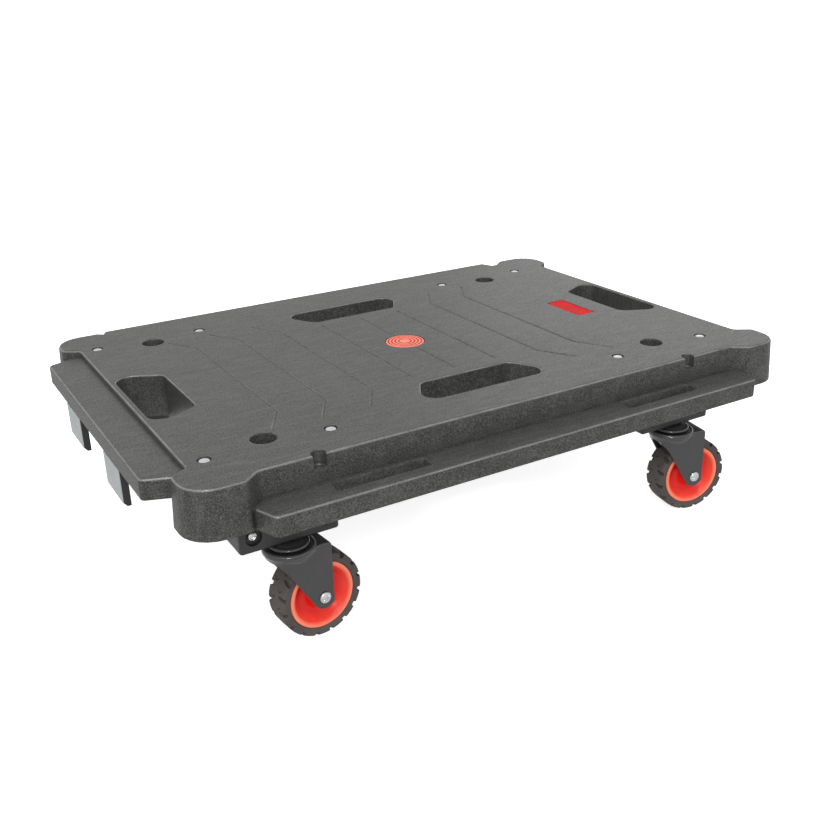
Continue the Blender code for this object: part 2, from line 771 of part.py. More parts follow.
def make_block(word, sign_x, sign_y):
    """The block over one caster, with an ear on each side for its bolts."""
    x, y = caster_at(sign_x, sign_y)
    name = "block_" + word
    roof = DECK_TOP - SKIN - GAP
    shape = bmesh.new()
    depths = (BLOCK_BACK, BLOCK_FRONT)
    add_box_y(shape, around(x, BLOCK_HALF_X), sign_y, depths, (BLOCK_BOTTOM, roof))
    block = place(name, mesh_of(shape, name), black_plastic("block_plastic"))
    bevel = block.modifiers.new("edges", "BEVEL")
    bevel.width = BLOCK_EDGE
    bevel.segments = 1
    ears = bmesh.new()
    add_box_y(ears, around(x, EAR_HALF_X), sign_y, EAR_Y, (roof - EAR_THICK, roof - EAR_DOWN))
    cut(block, place("join_ears_" + word, mesh_of(ears, "ears")), "UNION")
    cut(block, place("cut_block_" + word, mesh_of(block_holes(x, y, sign_y), "cut_block")))
    cut(block, place("bore_block_" + word, mesh_of(block_screw_bores(x, sign_y), "bore_block")))
    smooth(block)


def make_screw(name, at, axis, head, shank, look):
    """A turned fastener at a point: head (radius, top radius, height) and shank (radius, length)."""
    profile = [
        (0.0, head[2]),
        (head[1], head[2]),
        (head[0], 0.4 * head[2]),
        (head[0], 0.0),
        (shank[0], 0.0),
        (shank[0], -shank[1]),
        (0.0, -shank[1]),
    ]
    return turned(name, profile, at, axis, look, ROUND_SMALL)


def make_fasteners(word, sign_x, sign_y):
    """For one caster: two bolts down through the deck's skin and two screws in the block's outer face."""
    x = caster_at(sign_x, sign_y)[0]
    seat = DECK_TOP - COUNTERBORE + GAP
    head = (*BOLT_HEAD, DECK_TOP - seat)
    face = BLOCK_FRONT - SCREW_RECESS_DEEP + GAP
    for side, place_word in ((sign_x, "outer"), (-sign_x, "inner")):
        bolt = (x + side * BOLT_DX, sign_y * BOLT_Y, seat)
        name = "deck_bolt_" + word + "_" + place_word
        make_screw(name, bolt, (0, 0, 1), head, BOLT_SHANK, zinc_steel("bolt_zinc"))
        screw = (x + side * SCREW_DX, sign_y * face, SCREW_Z)
        name = "block_screw_" + word + "_" + place_word
        make_screw(name, screw, (0, sign_y, 0), SCREW_HEAD, SCREW_SHANK, zinc_steel("screw_zinc"))


# Casters


def caster_frame(word, sign_x, sign_y, angle):
    """An empty on the swivel axis, turned to the resting angle, and one on the axle below it."""
    x, y = caster_at(sign_x, sign_y)
    swivel = bpy.data.objects.new("swivel_" + word, None)
    swivel.location = (x, y, 0.0)
    swivel.rotation_euler = (0.0, 0.0, math.radians(angle))
    PARTS.objects.link(swivel)
    axle = bpy.data.objects.new("axle_" + word, None)
    axle.location = (TRAIL, 0.0, WHEEL_RADIUS)
    axle.parent = swivel
    PARTS.objects.link(axle)
    return swivel, axle


def make_race(word, at):
    """An upside-down cup under the block."""
    top = BLOCK_BOTTOM - GAP
    inner = PIN_RADIUS + GAP
    profile = [
        (inner, top),
        (RACE_OUTER - RACE_EDGE[0], top),
        (RACE_OUTER, top - RACE_EDGE[1]),
        (RACE_OUTER, RACE_LIP),
        (RACE_OUTER - RACE_WALL, RACE_LIP),
        (RACE_OUTER - RACE_WALL, top - RACE_WALL),
        (inner, top - RACE_WALL),
        (inner, top),
    ]
    return turned("race_" + word, profile, (*at, 0.0), (0, 0, 1), black_steel("race_steel"))


def make_ball_ring(word, at):
    """The row of balls, drawn as one ring."""
    height = FORK_TOP + GAP + BALL_RADIUS
    profile = [(BALL_MIDDLE + r, height + h) for r, h in arc((0, 0), BALL_RADIUS, 90.0, -270.0, 5)]
    return turned("ball_ring_" + word, profile, (*at, 0.0), (0, 0, 1), raw_steel("ball_steel"), 18)


def make_king_pin(word, at):
    """The pin from the block down through the fork's top, with its head under the fork."""
    top = BLOCK_BOTTOM + PIN_RISE
    head_top = FORK_TOP - FORK_METAL - GAP
    head_bottom = head_top - PIN_HEAD[2]
    profile = [
        (0.0, top),
        (PIN_RADIUS, top),
        (PIN_RADIUS, head_top),
        (PIN_HEAD[0], head_top),
        (PIN_HEAD[1], head_bottom),
        (0.0, head_bottom),
    ]
    return turned("king_pin_" + word, profile, (*at, 0.0), (0, 0, 1), raw_steel("pin_steel"), ROUND_SMALL)


def fork_plan(inset):
    """Plan of the fork: straight sides, open to the back, with a round nose."""
    side = FORK_OUTER - inset
    nose = FORK_NOSE - inset
    meet = math.degrees(math.asin(side / nose))
    back = FORK_BACK if inset == 0.0 else FORK_BACK + PAST_BOTTOM
    return arc((0.0, 0.0), nose, 180.0 - meet, 180.0 + meet, 8) + [(back, -side), (back, side)]


def leg_profile():
    """Side view of a leg: (along the caster, height), down from the nose, round the axle and up the back."""
    end = arc((TRAIL, WHEEL_RADIUS), LEG_END, 210.0, 330.0, 6)
    back = (FORK_BACK, WHEEL_RADIUS + LEG_BACK_RISE)
    nose = (-FORK_NOSE - 1.0 * MM, LEG_NOSE_Z)
    top = FORK_TOP + PAST_TOP
    return [nose, LEG_HIP] + end + [back, (FORK_BACK + 1.0 * MM, top), (-FORK_NOSE - PAST_TOP, top)]


def fork_cutters(word, low):
    """What turns the solid fork into a pressing: (cutter, operation) in order."""
    levels = [(low - PAST_BOTTOM, 0.0), (FORK_TOP - FORK_METAL, 0.0)]
    inside = prism_mesh("inside", fork_plan(FORK_METAL), levels)
    side = bmesh.new()
    add_slab(side, leg_profile(), FORK_OUTER + PAST_TOP)
    bead_r, bead_z, bead = FORK_BEAD
    ring = [(bead_r + r, bead_z + h) for r, h in arc((0, 0), bead, 90.0, -270.0, 6)]
    rim = turned("bead_profile_" + word, ring, (0, 0, 0), (0, 0, 1), None, ROUND)
    bores = bmesh.new()
    below = (0, 0, FORK_TOP - FORK_METAL - PAST_BOTTOM)
    above = (0, 0, FORK_TOP + PAST_BOTTOM)
    add_rod(bores, below, above, PIN_RADIUS + GAP, sides=ROUND_SMALL)
    reach = FORK_OUTER + PAST_BOTTOM
    near = (TRAIL, -reach, WHEEL_RADIUS)
    far = (TRAIL, reach, WHEEL_RADIUS)
    add_rod(bores, near, far, AXLE_RADIUS + GAP, sides=ROUND_SMALL)
    return [
        (place("inside_" + word, inside), "DIFFERENCE"),
        (place("side_" + word, mesh_of(side, "side")), "INTERSECT"),
        (solid_copy("bead_" + word, rim), "UNION"),
        (place("bores_" + word, mesh_of(bores, "bores")), "DIFFERENCE"),
    ]


def make_fork(word, swivel):
    name = "fork_" + word
    low = WHEEL_RADIUS - LEG_END - PAST_TOP
    shell = prism_mesh(name, fork_plan(0.0), [(low, 0.0), (FORK_TOP, 0.0)])
    fork = place(name, shell, black_steel("fork_steel"))
    fork.parent = swivel
    for cutter, operation in fork_cutters(word, low):
        cutter.parent = swivel
        cut(fork, cutter, operation)
    smooth(fork)


def solid_copy(name, source):
    """A plain mesh of an object that gets its shape from modifiers."""
    graph = bpy.context.evaluated_depsgraph_get()
    mesh = bpy.data.meshes.new_from_object(source.evaluated_get(graph))
    shape = bmesh.new()
    shape.from_mesh(mesh)
    bmesh.ops.remove_doubles(shape, verts=shape.verts, dist=0.00001)
    made = place(name, mesh_of(shape, name))
    made.matrix_world = source.matrix_world.copy()
    bpy.data.objects.remove(source, do_unlink=True)
    return made


def on_axle(made, axle):
    made.location = (0.0, 0.0, 0.0)
    made.parent = axle
    return made


def make_axle(word, axle):
    """Bolt with a domed head on one side and a nut on the other."""
    face = FORK_OUTER + GAP
    bolt = [(0.0, face + AXLE_HEAD_TALL)]
    bolt += [(radius, face + rise) for radius, rise in AXLE_HEAD]
    bolt += [(AXLE_RADIUS, face), (AXLE_RADIUS, -face - AXLE_PAST_FORK), (0.0, -face - AXLE_PAST_FORK)]
    made = turned("axle_bolt_" + word, bolt, (0, 0, 0), (0.0, -1.0, 0.0), zinc_steel("axle_zinc"), 14)
    on_axle(made, axle)
    nut_shape = bmesh.new()
    add_rod(nut_shape, (0.0, face, 0.0), (0.0, face + NUT_THICK, 0.0), NUT_CORNER, sides=6)
    nut = place("axle_nut_" + word, mesh_of(nut_shape, "axle_nut"), zinc_steel("nut_zinc"))
    hole_shape = bmesh.new()
    start = (0.0, face - PAST_TOP, 0.0)
    end = (0.0, face + NUT_THICK + PAST_TOP, 0.0)
    add_rod(hole_shape, start, end, AXLE_RADIUS + GAP, sides=ROUND_SMALL)
    hole = place("cut_nut_" + word, mesh_of(hole_shape, "cut_nut"))
    cut(nut, hole)
    on_axle(nut, axle)
    on_axle(hole, axle)


def core_side():
    """Half of the core's section, from the bore out to the rim: (radius, distance from the middle)."""
    return [
        (AXLE_RADIUS + GAP, 13.9 * MM),
        (9.0 * MM, 13.9 * MM),
        (13.5 * MM, 6.0 * MM),
        (21.5 * MM, 5.4 * MM),
        (25.6 * MM, CORE_HALF),
        (RIM_RADIUS, CORE_HALF),
    ]


def make_core(word, axle):
    side = core_side()
    profile = side + [(r, -h) for r, h in reversed(side)] + [side[0]]
    look = coral_plastic("core_plastic")
    on_axle(turned("wheel_core_" + word, profile, (0, 0, 0), (0.0, -1.0, 0.0), look), axle)


def lug_outline():
    """Outline of the tread: lugs at the full radius with gaps between them."""
    points = []
    radii = (WHEEL_RADIUS, WHEEL_RADIUS, GAP_RADIUS, GAP_RADIUS)
    for i in range(LUGS):
        for share, radius in zip(LUG_SHARES, radii):
            angle = 2 * math.pi * (i + share) / LUGS
            points.append((radius * math.cos(angle), radius * math.sin(angle)))
    return points


def make_tyre(word, axle):
    """A tyre with lugs across the tread and rounded shoulders."""
    name = "tyre_" + word
    drop, wide = TYRE_SHOULDER
    levels = [
        (-TYRE_HALF, -drop),
        (-TYRE_HALF + wide, 0.0),
        (TYRE_HALF - wide, 0.0),
        (TYRE_HALF, -drop),
    ]
    tyre = place(name, prism_mesh(name, lug_outline(), levels), tyre_rubber("tyre_rubber"))
    bore = bmesh.new()
    reach = TYRE_HALF + PAST_BOTTOM
    add_rod(bore, (0, 0, -reach), (0, 0, reach), RIM_RADIUS + GAP)
    cutter = place("bore_" + name, mesh_of(bore, "bore_tyre"))
    for made in (tyre, cutter):
        made.rotation_euler = (math.radians(90.0), 0.0, 0.0)
        on_axle(made, axle)
    cut(tyre, cutter)
    smooth(tyre)


def make_caster(word, sign_x, sign_y, angle):
    at = caster_at(sign_x, sign_y)
    swivel, axle = caster_frame(word, sign_x, sign_y, angle)
    make_block(word, sign_x, sign_y)
    make_fasteners(word, sign_x, sign_y)
    make_race(word, at)
    make_king_pin(word, at)
    make_ball_ring(word, at)
    make_fork(word, swivel)
    make_axle(word, axle)
    make_core(word, axle)
    make_tyre(word, axle)


clear_scene()
PARTS = new_collection("platform_dolly", False)
CUTTERS = new_collection("cutters", True)
make_deck()
make_disc()
make_label()
make_hooks()
for caster in CASTERS:
    make_caster(*caster)
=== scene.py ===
"""Connectable platform dolly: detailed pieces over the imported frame, with procedural materials."""

import math

import bmesh
import bpy
from mathutils import Matrix, Vector


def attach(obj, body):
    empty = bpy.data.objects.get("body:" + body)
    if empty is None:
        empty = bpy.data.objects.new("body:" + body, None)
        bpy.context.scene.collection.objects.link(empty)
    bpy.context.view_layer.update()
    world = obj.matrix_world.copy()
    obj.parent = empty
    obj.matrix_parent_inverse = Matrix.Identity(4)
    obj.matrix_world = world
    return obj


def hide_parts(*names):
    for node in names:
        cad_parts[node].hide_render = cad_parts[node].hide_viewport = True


MM = 0.001


def mm(*values):
    """Lengths given in millimetres."""
    return tuple(value * MM for value in values)


# Heights above the floor, as in the part
DECK_TOP = 178.0 * MM
DECK_BOTTOM = 133.4 * MM
FLANGE_TOP = 171.8 * MM
FLANGE_BOTTOM = 152.8 * MM
LEDGE_TOP = 152.3 * MM
SKIN = 5.5 * MM

# Plan of the deck, as half sizes
WALL_X = 307.4 * MM
WALL_Y = 210.0 * MM
BUMPER_X = 323.7 * MM
BUMPER_Y = 222.6 * MM
OVERHANG = 35.5 * MM
LONG_WALL_END = 261.0 * MM
LONG_BUMPER_END = 276.0 * MM
SHORT_WALL_END = 171.0 * MM
SHORT_BUMPER_END = 181.5 * MM
CORNER_RADIUS = 27.0 * MM
DRAFT = 2.2 * MM
EDGE_ROUND = 3.0 * MM

END_HANDLE = mm(301.4, 255.4, 72.0, 48.5)
SIDE_HANDLE = mm(160.5, 116.5, 76.0, 51.0)
SIDE_HANDLE_X = -4.0 * MM

GROOVE_FIRST_X = -199.0 * MM
GROOVE_PITCH = 48.5 * MM
GROOVE_WIDTH = 2.8 * MM
GROOVE_DEPTH = 1.2 * MM

DISC_AT = mm(-5.0, -1.0)
DISC_RADIUS = 20.6 * MM
LABEL_AT = mm(215.5, -6.5)
LABEL_SIZE = mm(23.0, 59.0)

LINK_MIDDLE_X = -2.4 * MM
LINK_HALF_X = 155.0 * MM
LINK_HALF_Y = 68.5 * MM
HOOK_HALF = 25.5 * MM
HOOK_BOTTOM = 117.8 * MM

PATTERN_X = -14.25 * MM
CASTER_X = 218.55 * MM
CASTER_Y = 191.0 * MM
CASTERS = (
    ("front_left", -1, -1, 5.6),
    ("front_right", 1, -1, -9.8),
    ("rear_left", -1, 1, 4.0),
    ("rear_right", 1, 1, -7.0),
)
BLOCK_HALF_X = 45.5 * MM
BLOCK_FRONT = 197.2 * MM
BLOCK_BACK = 127.0 * MM
BLOCK_BOTTOM = 98.3 * MM
EAR_HALF_X = 66.0 * MM
EAR_Y = mm(154.0, 179.5)
BOLT_DX = 57.0 * MM
BOLT_Y = 166.7 * MM
WELL_Y = 153.9 * MM
WELL_RADIUS = 11.4 * MM
COLLAR_LONG = 12.0 * MM
SCREW_DX = 32.5 * MM
SCREW_Z = 112.1 * MM

TRAIL = 22.0 * MM
WHEEL_RADIUS = 40.0 * MM
TYRE_HALF = 13.2 * MM
RIM_RADIUS = 31.7 * MM
FORK_OUTER = 17.0 * MM
FORK_METAL = 2.5 * MM
FORK_NOSE = 20.5 * MM
FORK_BACK = 31.5 * MM
FORK_TOP = 92.3 * MM
LEG_END = 11.0 * MM
PIN_RADIUS = 3.0 * MM
AXLE_RADIUS = 3.5 * MM
LUGS = 16

# Light
FLOOR_GLOW = 0.78
WORLD_ABOVE = 0.80
WORLD_BELOW = 0.72

# Camera
CAMERA_AT = (-0.51012, -0.88692, 0.51977)
CAMERA_AZIMUTH = -30.08
CAMERA_ELEVATION = 22.69
CAMERA_ROLL = -1.65
CAMERA_LENS = 43.556


# Mesh helpers


def arc(centre, radius, start, end, steps):
    points = []
    for i in range(steps + 1):
        angle = math.radians(start + (end - start) * i / steps)
        points.append((centre[0] + radius * math.cos(angle), centre[1] + radius * math.sin(angle)))
    return points


def rounded(corners, radii, steps=5):
    """The polygon with each corner turned into an arc of its radius, in or out; radius 0 keeps the corner."""
    points = []
    count = len(corners)
    for i in range(count):
        corner = Vector(corners[i])
        if radii[i] == 0.0:
            points.append(tuple(corner))
            continue
        back = (Vector(corners[i - 1]) - corner).normalized()
        ahead = (Vector(corners[(i + 1) % count]) - corner).normalized()
        half = back.angle(ahead) / 2
        reach = radii[i] / math.tan(half)
        centre = corner + (back + ahead).normalized() * (radii[i] / math.sin(half))
        first = corner + back * reach - centre
        last = corner + ahead * reach - centre
        turn = first.angle_signed(last)
        for k in range(steps + 1):
            point = centre + Matrix.Rotation(-turn * k / steps, 2) @ first
            points.append((point.x, point.y))
    return points


def four(x0, y0, x1, y1, radius, steps):
    """A rectangle with rounded corners."""
    return rounded([(x0, y0), (x1, y0), (x1, y1), (x0, y1)], [radius] * 4, steps)


def miter(points, distance):
    """The closed outline moved outward by the distance."""
    moved = []
    count = len(points)
    for i in range(count):
        before = Vector(points[i]) - Vector(points[i - 1])
        after = Vector(points[(i + 1) % count]) - Vector(points[i])
        first = Vector((before.y, -before.x)).normalized()
        second = Vector((after.y, -after.x)).normalized()
        out = (first + second) / (1.0 + first.dot(second))
        moved.append((points[i][0] + out.x * distance, points[i][1] + out.y * distance))
    return moved


def add_rings(shape, rings, closed_ends=True):
    """A closed body through rings of points with the same count, each ring (x, y, z)."""
    made = [[shape.verts.new(point) for point in ring] for ring in rings]
    count = len(rings[0])
    for low, high in zip(made, made[1:]):
        for i in range(count):
            j = (i + 1) % count
            shape.faces.new((low[i], low[j], high[j], high[i]))
    if closed_ends:
        shape.faces.new(made[-1])
        shape.faces.new(list(reversed(made[0])))
    return made


def add_prism(shape, outline, levels):
    rings = []
    for height, offset in levels:
        ring = miter(outline, offset) if offset else outline
        rings.append([(x, y, height) for x, y in ring])
    add_rings(shape, rings)


def add_box(shape, low, high):
    size = [high[i] - low[i] for i in range(3)]
    middle = [(high[i] + low[i]) / 2 for i in range(3)]
    where = Matrix.Translation(middle) @ Matrix.Diagonal((*size, 1.0))
    bmesh.ops.create_cube(shape, size=1.0, matrix=where)


def add_rod(shape, start, end, radius, end_radius=None, sides=48):
    axis = Vector(end) - Vector(start)
    turn = axis.to_track_quat("Z", "Y").to_matrix().to_4x4()
    where = Matrix.Translation((Vector(start) + Vector(end)) / 2) @ turn
    top = radius if end_radius is None else end_radius
    bmesh.ops.create_cone(
        shape, cap_ends=True, segments=sides, radius1=radius, radius2=top, depth=axis.length, matrix=where
    )


def add_lathe(shape, profile, steps=64):
    """A profile of (radius, height) turned about Z. An end on the axis is one point; a loop has no ends."""
    loop = profile[0] == profile[-1]
    points = profile[:-1] if loop else profile
    rings = []
    for radius, height in points:
        if radius < 1e-7:
            rings.append([shape.verts.new((0.0, 0.0, height))])
            continue
        ring = []
        for k in range(steps):
            angle = 2 * math.pi * k / steps
            ring.append(shape.verts.new((radius * math.cos(angle), radius * math.sin(angle), height)))
        rings.append(ring)
    pairs = list(zip(rings, rings[1:]))
    if loop:
        pairs.append((rings[-1], rings[0]))
    for a, b in pairs:
        for k in range(steps):
            n = (k + 1) % steps
            face = [a[0]] if len(a) == 1 else [a[k], a[n]]
            face += [b[0]] if len(b) == 1 else [b[n], b[k]]
            if len(face) > 2:
                shape.faces.new(face)


def to_mesh(shape, name, turn=None):
    bmesh.ops.recalc_face_normals(shape, faces=shape.faces)
    if turn is not None:
        bmesh.ops.transform(shape, matrix=turn, verts=shape.verts)
    mesh = bpy.data.meshes.new(name)
    shape.to_mesh(mesh)
    shape.free()
    return mesh


def add_object(name, mesh):
    made = bpy.data.objects.new(name, mesh)
    bpy.context.scene.collection.objects.link(made)
    return made


def combine(base, steps):
    """Booleans one after another on a bmesh: steps of (bmesh, operation). Gives a plain mesh."""
    target = add_object("work", to_mesh(base, "work"))
    used = []
    for i, (shape, operation) in enumerate(steps):
        cutter = add_object("cutter_%d" % i, to_mesh(shape, "cutter"))
        modifier = target.modifiers.new("step", "BOOLEAN")
        modifier.operation = operation
        modifier.object = cutter
        modifier.solver = "MANIFOLD"
        used.append(cutter)
    graph = bpy.context.evaluated_depsgraph_get()
    mesh = bpy.data.meshes.new_from_object(target.evaluated_get(graph))
    for found in [target] + used:
        old = found.data
        bpy.data.objects.remove(found, do_unlink=True)
        bpy.data.meshes.remove(old)
    mesh.materials.clear()
    return mesh


def soften(mesh, angle=32.0):
    mesh.shade_smooth()
    mesh.set_sharp_from_angle(angle=math.radians(angle))


def piece(name, mesh, look, body, stands_for=(), where=None, angle=32.0, weigh=False):
    """A finished piece riding on a body."""
    made = add_object(name, mesh)
    mesh.materials.append(look)
    soften(mesh, angle)
    if weigh:
        weighted = made.modifiers.new("weigh", "WEIGHTED_NORMAL")
        weighted.keep_sharp = True
        weighted.weight = 90
    if where is not None:
        made.matrix_world = where
    bpy.context.view_layer.update()
    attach(made, body)
    if stands_for:
        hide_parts(*stands_for)
    return made


# Materials


class Look:
    """A node material with a Principled shader and short calls to add what feeds it."""

    def __init__(self, name, **constants):
        self.material = bpy.data.materials.new(name)
        self.material.use_nodes = True
        self.tree = self.material.node_tree
        self.shader = self.tree.nodes["Principled BSDF"]
        for key, value in constants.items():
            self.shader.inputs[key.replace("_", " ")].default_value = value
        self.place = self.tree.nodes.new("ShaderNodeTexCoord").outputs["Object"]

    def put(self, value, socket):
        if hasattr(value, "node"):
            self.tree.links.new(value, socket)
        elif isinstance(value, tuple) and len(value) == 3 and socket.type == "RGBA":
            socket.default_value = (*value, 1.0)
        else:
            socket.default_value = value

    def node(self, kind, **inputs):
        """A new node with its inputs linked or set, in the order given."""
        made = self.tree.nodes.new("ShaderNode" + kind)
        for key, value in inputs.items():
            self.put(value, made.inputs[key.replace("_", " ")])
        return made

    def mapped(self, scale, turn=(0.0, 0.0, 0.0)):
        return self.node("Mapping", Scale=scale, Rotation=turn, Vector=self.place).outputs["Vector"]

    def noise(self, scale, detail=2.0, rough=0.5, vector=None):
        made = self.node("TexNoise", Scale=scale, Detail=detail, Roughness=rough, Vector=vector or self.place)
        return made.outputs["Fac"]

    def cells(self, scale):
        return self.node("TexVoronoi", Scale=scale, Vector=self.place).outputs["Distance"]

    def remap(self, value, low, high, to_low=0.0, to_high=1.0):
        made = self.node("MapRange", From_Min=low, From_Max=high, To_Min=to_low, To_Max=to_high, Value=value)
        return made.outputs["Result"]

    def math(self, operation, a, b):
        node = self.tree.nodes.new("ShaderNodeMath")
        node.operation = operation
        self.put(a, node.inputs[0])
        self.put(b, node.inputs[1])
        return node.outputs[0]

    def times(self, a, b):
        return self.math("MULTIPLY", a, b)

    def cloud(self, scale, detail):
        """Soft patches from 0 to 1."""
        return self.remap(self.noise(scale, detail), 0.3, 0.7)

    def vector(self, operation, a, b=None):
        made = self.node("VectorMath")
        made.operation = operation
        self.put(a, made.inputs[0])
        if b is not None:
            self.put(b, made.inputs[1])
        return made

    def mix(self, factor, a, b):
        node = self.tree.nodes.new("ShaderNodeMix")
        node.data_type = "RGBA"
        self.put(factor, node.inputs["Factor"])
        self.put(a, node.inputs["A"])
        self.put(b, node.inputs["B"])
        return node.outputs["Result"]

    def edges(self, radius, gain):
        """1 along edges of the shape and 0 on its flats."""
        rounded_off = self.round_normal(radius)
        dot = self.vector("DOT_PRODUCT", rounded_off, self.node("NewGeometry").outputs["Normal"])
        return self.remap(dot.outputs["Value"], 1.0, 1.0 - gain)

    def open_air(self, distance):
        """1 where nothing is near the surface, less in corners and grooves."""
        made = self.node("AmbientOcclusion", Distance=distance)
        made.samples = 6
        return made.outputs["AO"]

    def shoulders(self):
        """1 on the rounded upper edges, 0 on level and upright faces."""
        rise = self.node("SeparateXYZ", Vector=self.node("NewGeometry").outputs["Normal"]).outputs["Z"]
        return self.math("MULTIPLY", self.remap(rise, 0.38, 0.62), self.remap(rise, 0.95, 0.84))

    def bump(self, height, strength, distance, normal=None):
        made = self.node("Bump", Strength=strength, Distance=distance, Height=height)
        if normal is not None:
            self.put(normal, made.inputs["Normal"])
        return made.outputs["Normal"]

    def round_normal(self, radius):
        made = self.node("Bevel", Radius=radius)
        made.samples = 4
        return made.outputs["Normal"]

    def colour(self, value):
        self.put(value, self.shader.inputs["Base Color"])

    def roughness(self, value):
        self.put(value, self.shader.inputs["Roughness"])

    def normal(self, value):
        self.put(value, self.shader.inputs["Normal"])

    def grain(self, scale, strength, depth, radius, detail=2.0):
        """Fine bumps over softly rounded edges."""
        self.normal(self.bump(self.noise(scale, detail), strength, depth, self.round_normal(radius)))

    def gloss(self, scale, low, high, detail=2.0):
        """Roughness that wanders between two values."""
        self.roughness(self.remap(self.noise(scale, detail), 0.3, 0.7, low, high))


def deck_look():
    """Dark grey moulded plastic: fine grain, flow streaks, painted shade in corners and grooves, and a
    painted highlight on the upper rounded edges, where the roughness is also lower.
    """
    look = Look("moulded_grey")
    broad = look.noise(7.0, 3.0, 0.6)
    streaks = look.noise(1.0, 5.0, 0.7, look.mapped((45.0, 230.0, 60.0), (0.0, 0.0, 0.5)))
    speck = look.noise(820.0, 2.0, 0.65)
    base = look.mix(look.remap(broad, 0.3, 0.7), (0.036, 0.0365, 0.034), (0.046, 0.046, 0.0435))
    base = look.mix(look.remap(streaks, 0.45, 0.68, 0.0, 0.5), base, (0.078, 0.078, 0.073))
    base = look.mix(look.remap(speck, 0.53, 0.70, 0.0, 0.65), base, (0.130, 0.130, 0.124))
    base = look.mix(look.remap(speck, 0.47, 0.31, 0.0, 0.75), base, (0.010, 0.010, 0.0095))
    # Painted shade: through ambient occlusion, the colour darkens to near black in corners, grooves and
    # hollows.
    free = look.open_air(6.0 * MM)
    base = look.mix(look.remap(free, 0.80, 0.35, 0.0, 0.75), base, (0.012, 0.012, 0.012))
    # Painted highlight: a patchy pale colour on the upward-facing rounded edges, kept out of hollows; the
    # same mask lowers the roughness there.
    wear_and_painted_highlight = look.times(look.shoulders(), look.remap(look.noise(60.0, 3.0), 0.25, 0.6, 0.4, 1.0))
    wear_and_painted_highlight = look.times(wear_and_painted_highlight, look.remap(free, 0.72, 0.92))
    base = look.mix(look.times(wear_and_painted_highlight, 0.62), base, (0.23, 0.23, 0.22))
    look.colour(base)
    rough = look.remap(look.noise(420.0, 2.0), 0.3, 0.7, 0.34, 0.48)
    look.roughness(look.math("SUBTRACT", rough, look.times(wear_and_painted_highlight, 0.10)))
    glint = look.remap(speck, 0.36, 0.64, 0.32, 0.66)
    sheen = look.math("ADD", glint, look.remap(streaks, 0.42, 0.70, -0.05, 0.10))
    look.put(sheen, look.shader.inputs["Specular IOR Level"])
    fine = look.bump(look.cells(820.0), 0.14, 0.16 * MM, look.round_normal(0.5 * MM))
    look.normal(look.bump(speck, 0.14, 0.10 * MM, fine))
    return look.material


def black_look(name, colour, rough):
    """Smooth black moulding with a light grain and paler edges."""
    look = Look(name)
    base = look.mix(look.cloud(25.0, 3.0), colour, tuple(1.5 * c for c in colour))
    wear_and_painted_highlight = look.times(look.edges(1.0 * MM, 0.3), 0.5)
    base = look.mix(wear_and_painted_highlight, base, tuple(4.0 * c for c in colour))
    look.colour(base)
    look.gloss(500.0, rough - 0.07, rough + 0.08)
    look.grain(1300.0, 0.2, 0.08 * MM, 0.6 * MM, 1.0)
    return look.material


def painted_steel_look():
    """Satin black paint on pressed steel: orange peel, dust in the hollows, rubbed edges and a painted
    highlight on the upward-facing rounded parts.
    """
    look = Look("satin_black_steel", Coat_Weight=0.5, Coat_Roughness=0.10)
    base = look.mix(look.cloud(30.0, 4.0), (0.030, 0.030, 0.032), (0.042, 0.042, 0.045))
    patchy = look.remap(look.noise(140.0, 3.0), 0.3, 0.6, 0.3, 1.0)
    rubbed = look.times(look.edges(0.9 * MM, 0.25), patchy)
    base = look.mix(look.times(rubbed, 0.4), base, (0.22, 0.22, 0.23))
    # Painted highlight: a paler colour on the upward-facing rounded parts of the pressing.
    base = look.mix(look.times(look.shoulders(), 0.7), base, (0.13, 0.125, 0.12))
    look.colour(base)
    look.gloss(260.0, 0.20, 0.32, 3.0)
    look.grain(300.0, 0.05, 0.06 * MM, 0.5 * MM)
    return look.material


def bright_steel_look(name, colour, rough):
    """Zinc plate: a mottled sheen with turning marks."""
    look = Look(name, Metallic=1.0)
    base = look.mix(look.cloud(180.0, 3.0), colour, tuple(0.82 * c for c in colour))
    dark = look.times(look.edges(0.5 * MM, 0.5), 0.4)
    look.colour(look.mix(dark, base, tuple(0.45 * c for c in colour)))
    look.gloss(900.0, rough, rough + 0.14)
    look.grain(1500.0, 0.12, 0.05 * MM, 0.2 * MM)
    return look.material


def painted_reflection_face_look():
    """Painted reflection: pale grey on the hooks' outer faces in place of the floor reflected there, with a
    little scuffing up and down.
    """
    look = Look("hook_face_painted_reflection")
    scuff = look.noise(1.0, 4.0, 0.6, look.mapped((500.0, 500.0, 30.0)))
    base = look.mix(look.remap(scuff, 0.4, 0.7), (0.40, 0.43, 0.43), (0.33, 0.355, 0.36))
    base = look.mix(look.remap(look.noise(45.0, 3.0), 0.45, 0.7, 0.0, 0.5), base, (0.47, 0.49, 0.49))
    look.colour(base)
    look.gloss(300.0, 0.35, 0.5)
    look.normal(look.bump(scuff, 0.1, 0.06 * MM, look.round_normal(0.4 * MM)))
    return look.material


def coral_look(name, light, deep, rough=0.34, bend=1.5):
    """Coloured plastic that is slightly translucent, with cloudy colour and a fine texture."""
    look = Look(name, Subsurface_Weight=0.15, Subsurface_Scale=0.004, IOR=bend)
    cloud = look.cloud(55.0, 3.0)
    base = look.mix(cloud, light, deep)
    wear_and_painted_highlight = look.times(look.edges(0.9 * MM, 0.35), 0.35)
    base = look.mix(wear_and_painted_highlight, base, tuple(min(1.0, 1.3 * c) for c in light))
    look.colour(base)
    look.gloss(700.0, rough - 0.05, rough + 0.1)
    look.grain(1100.0, 0.12, 0.06 * MM, 0.4 * MM)
    return look.material


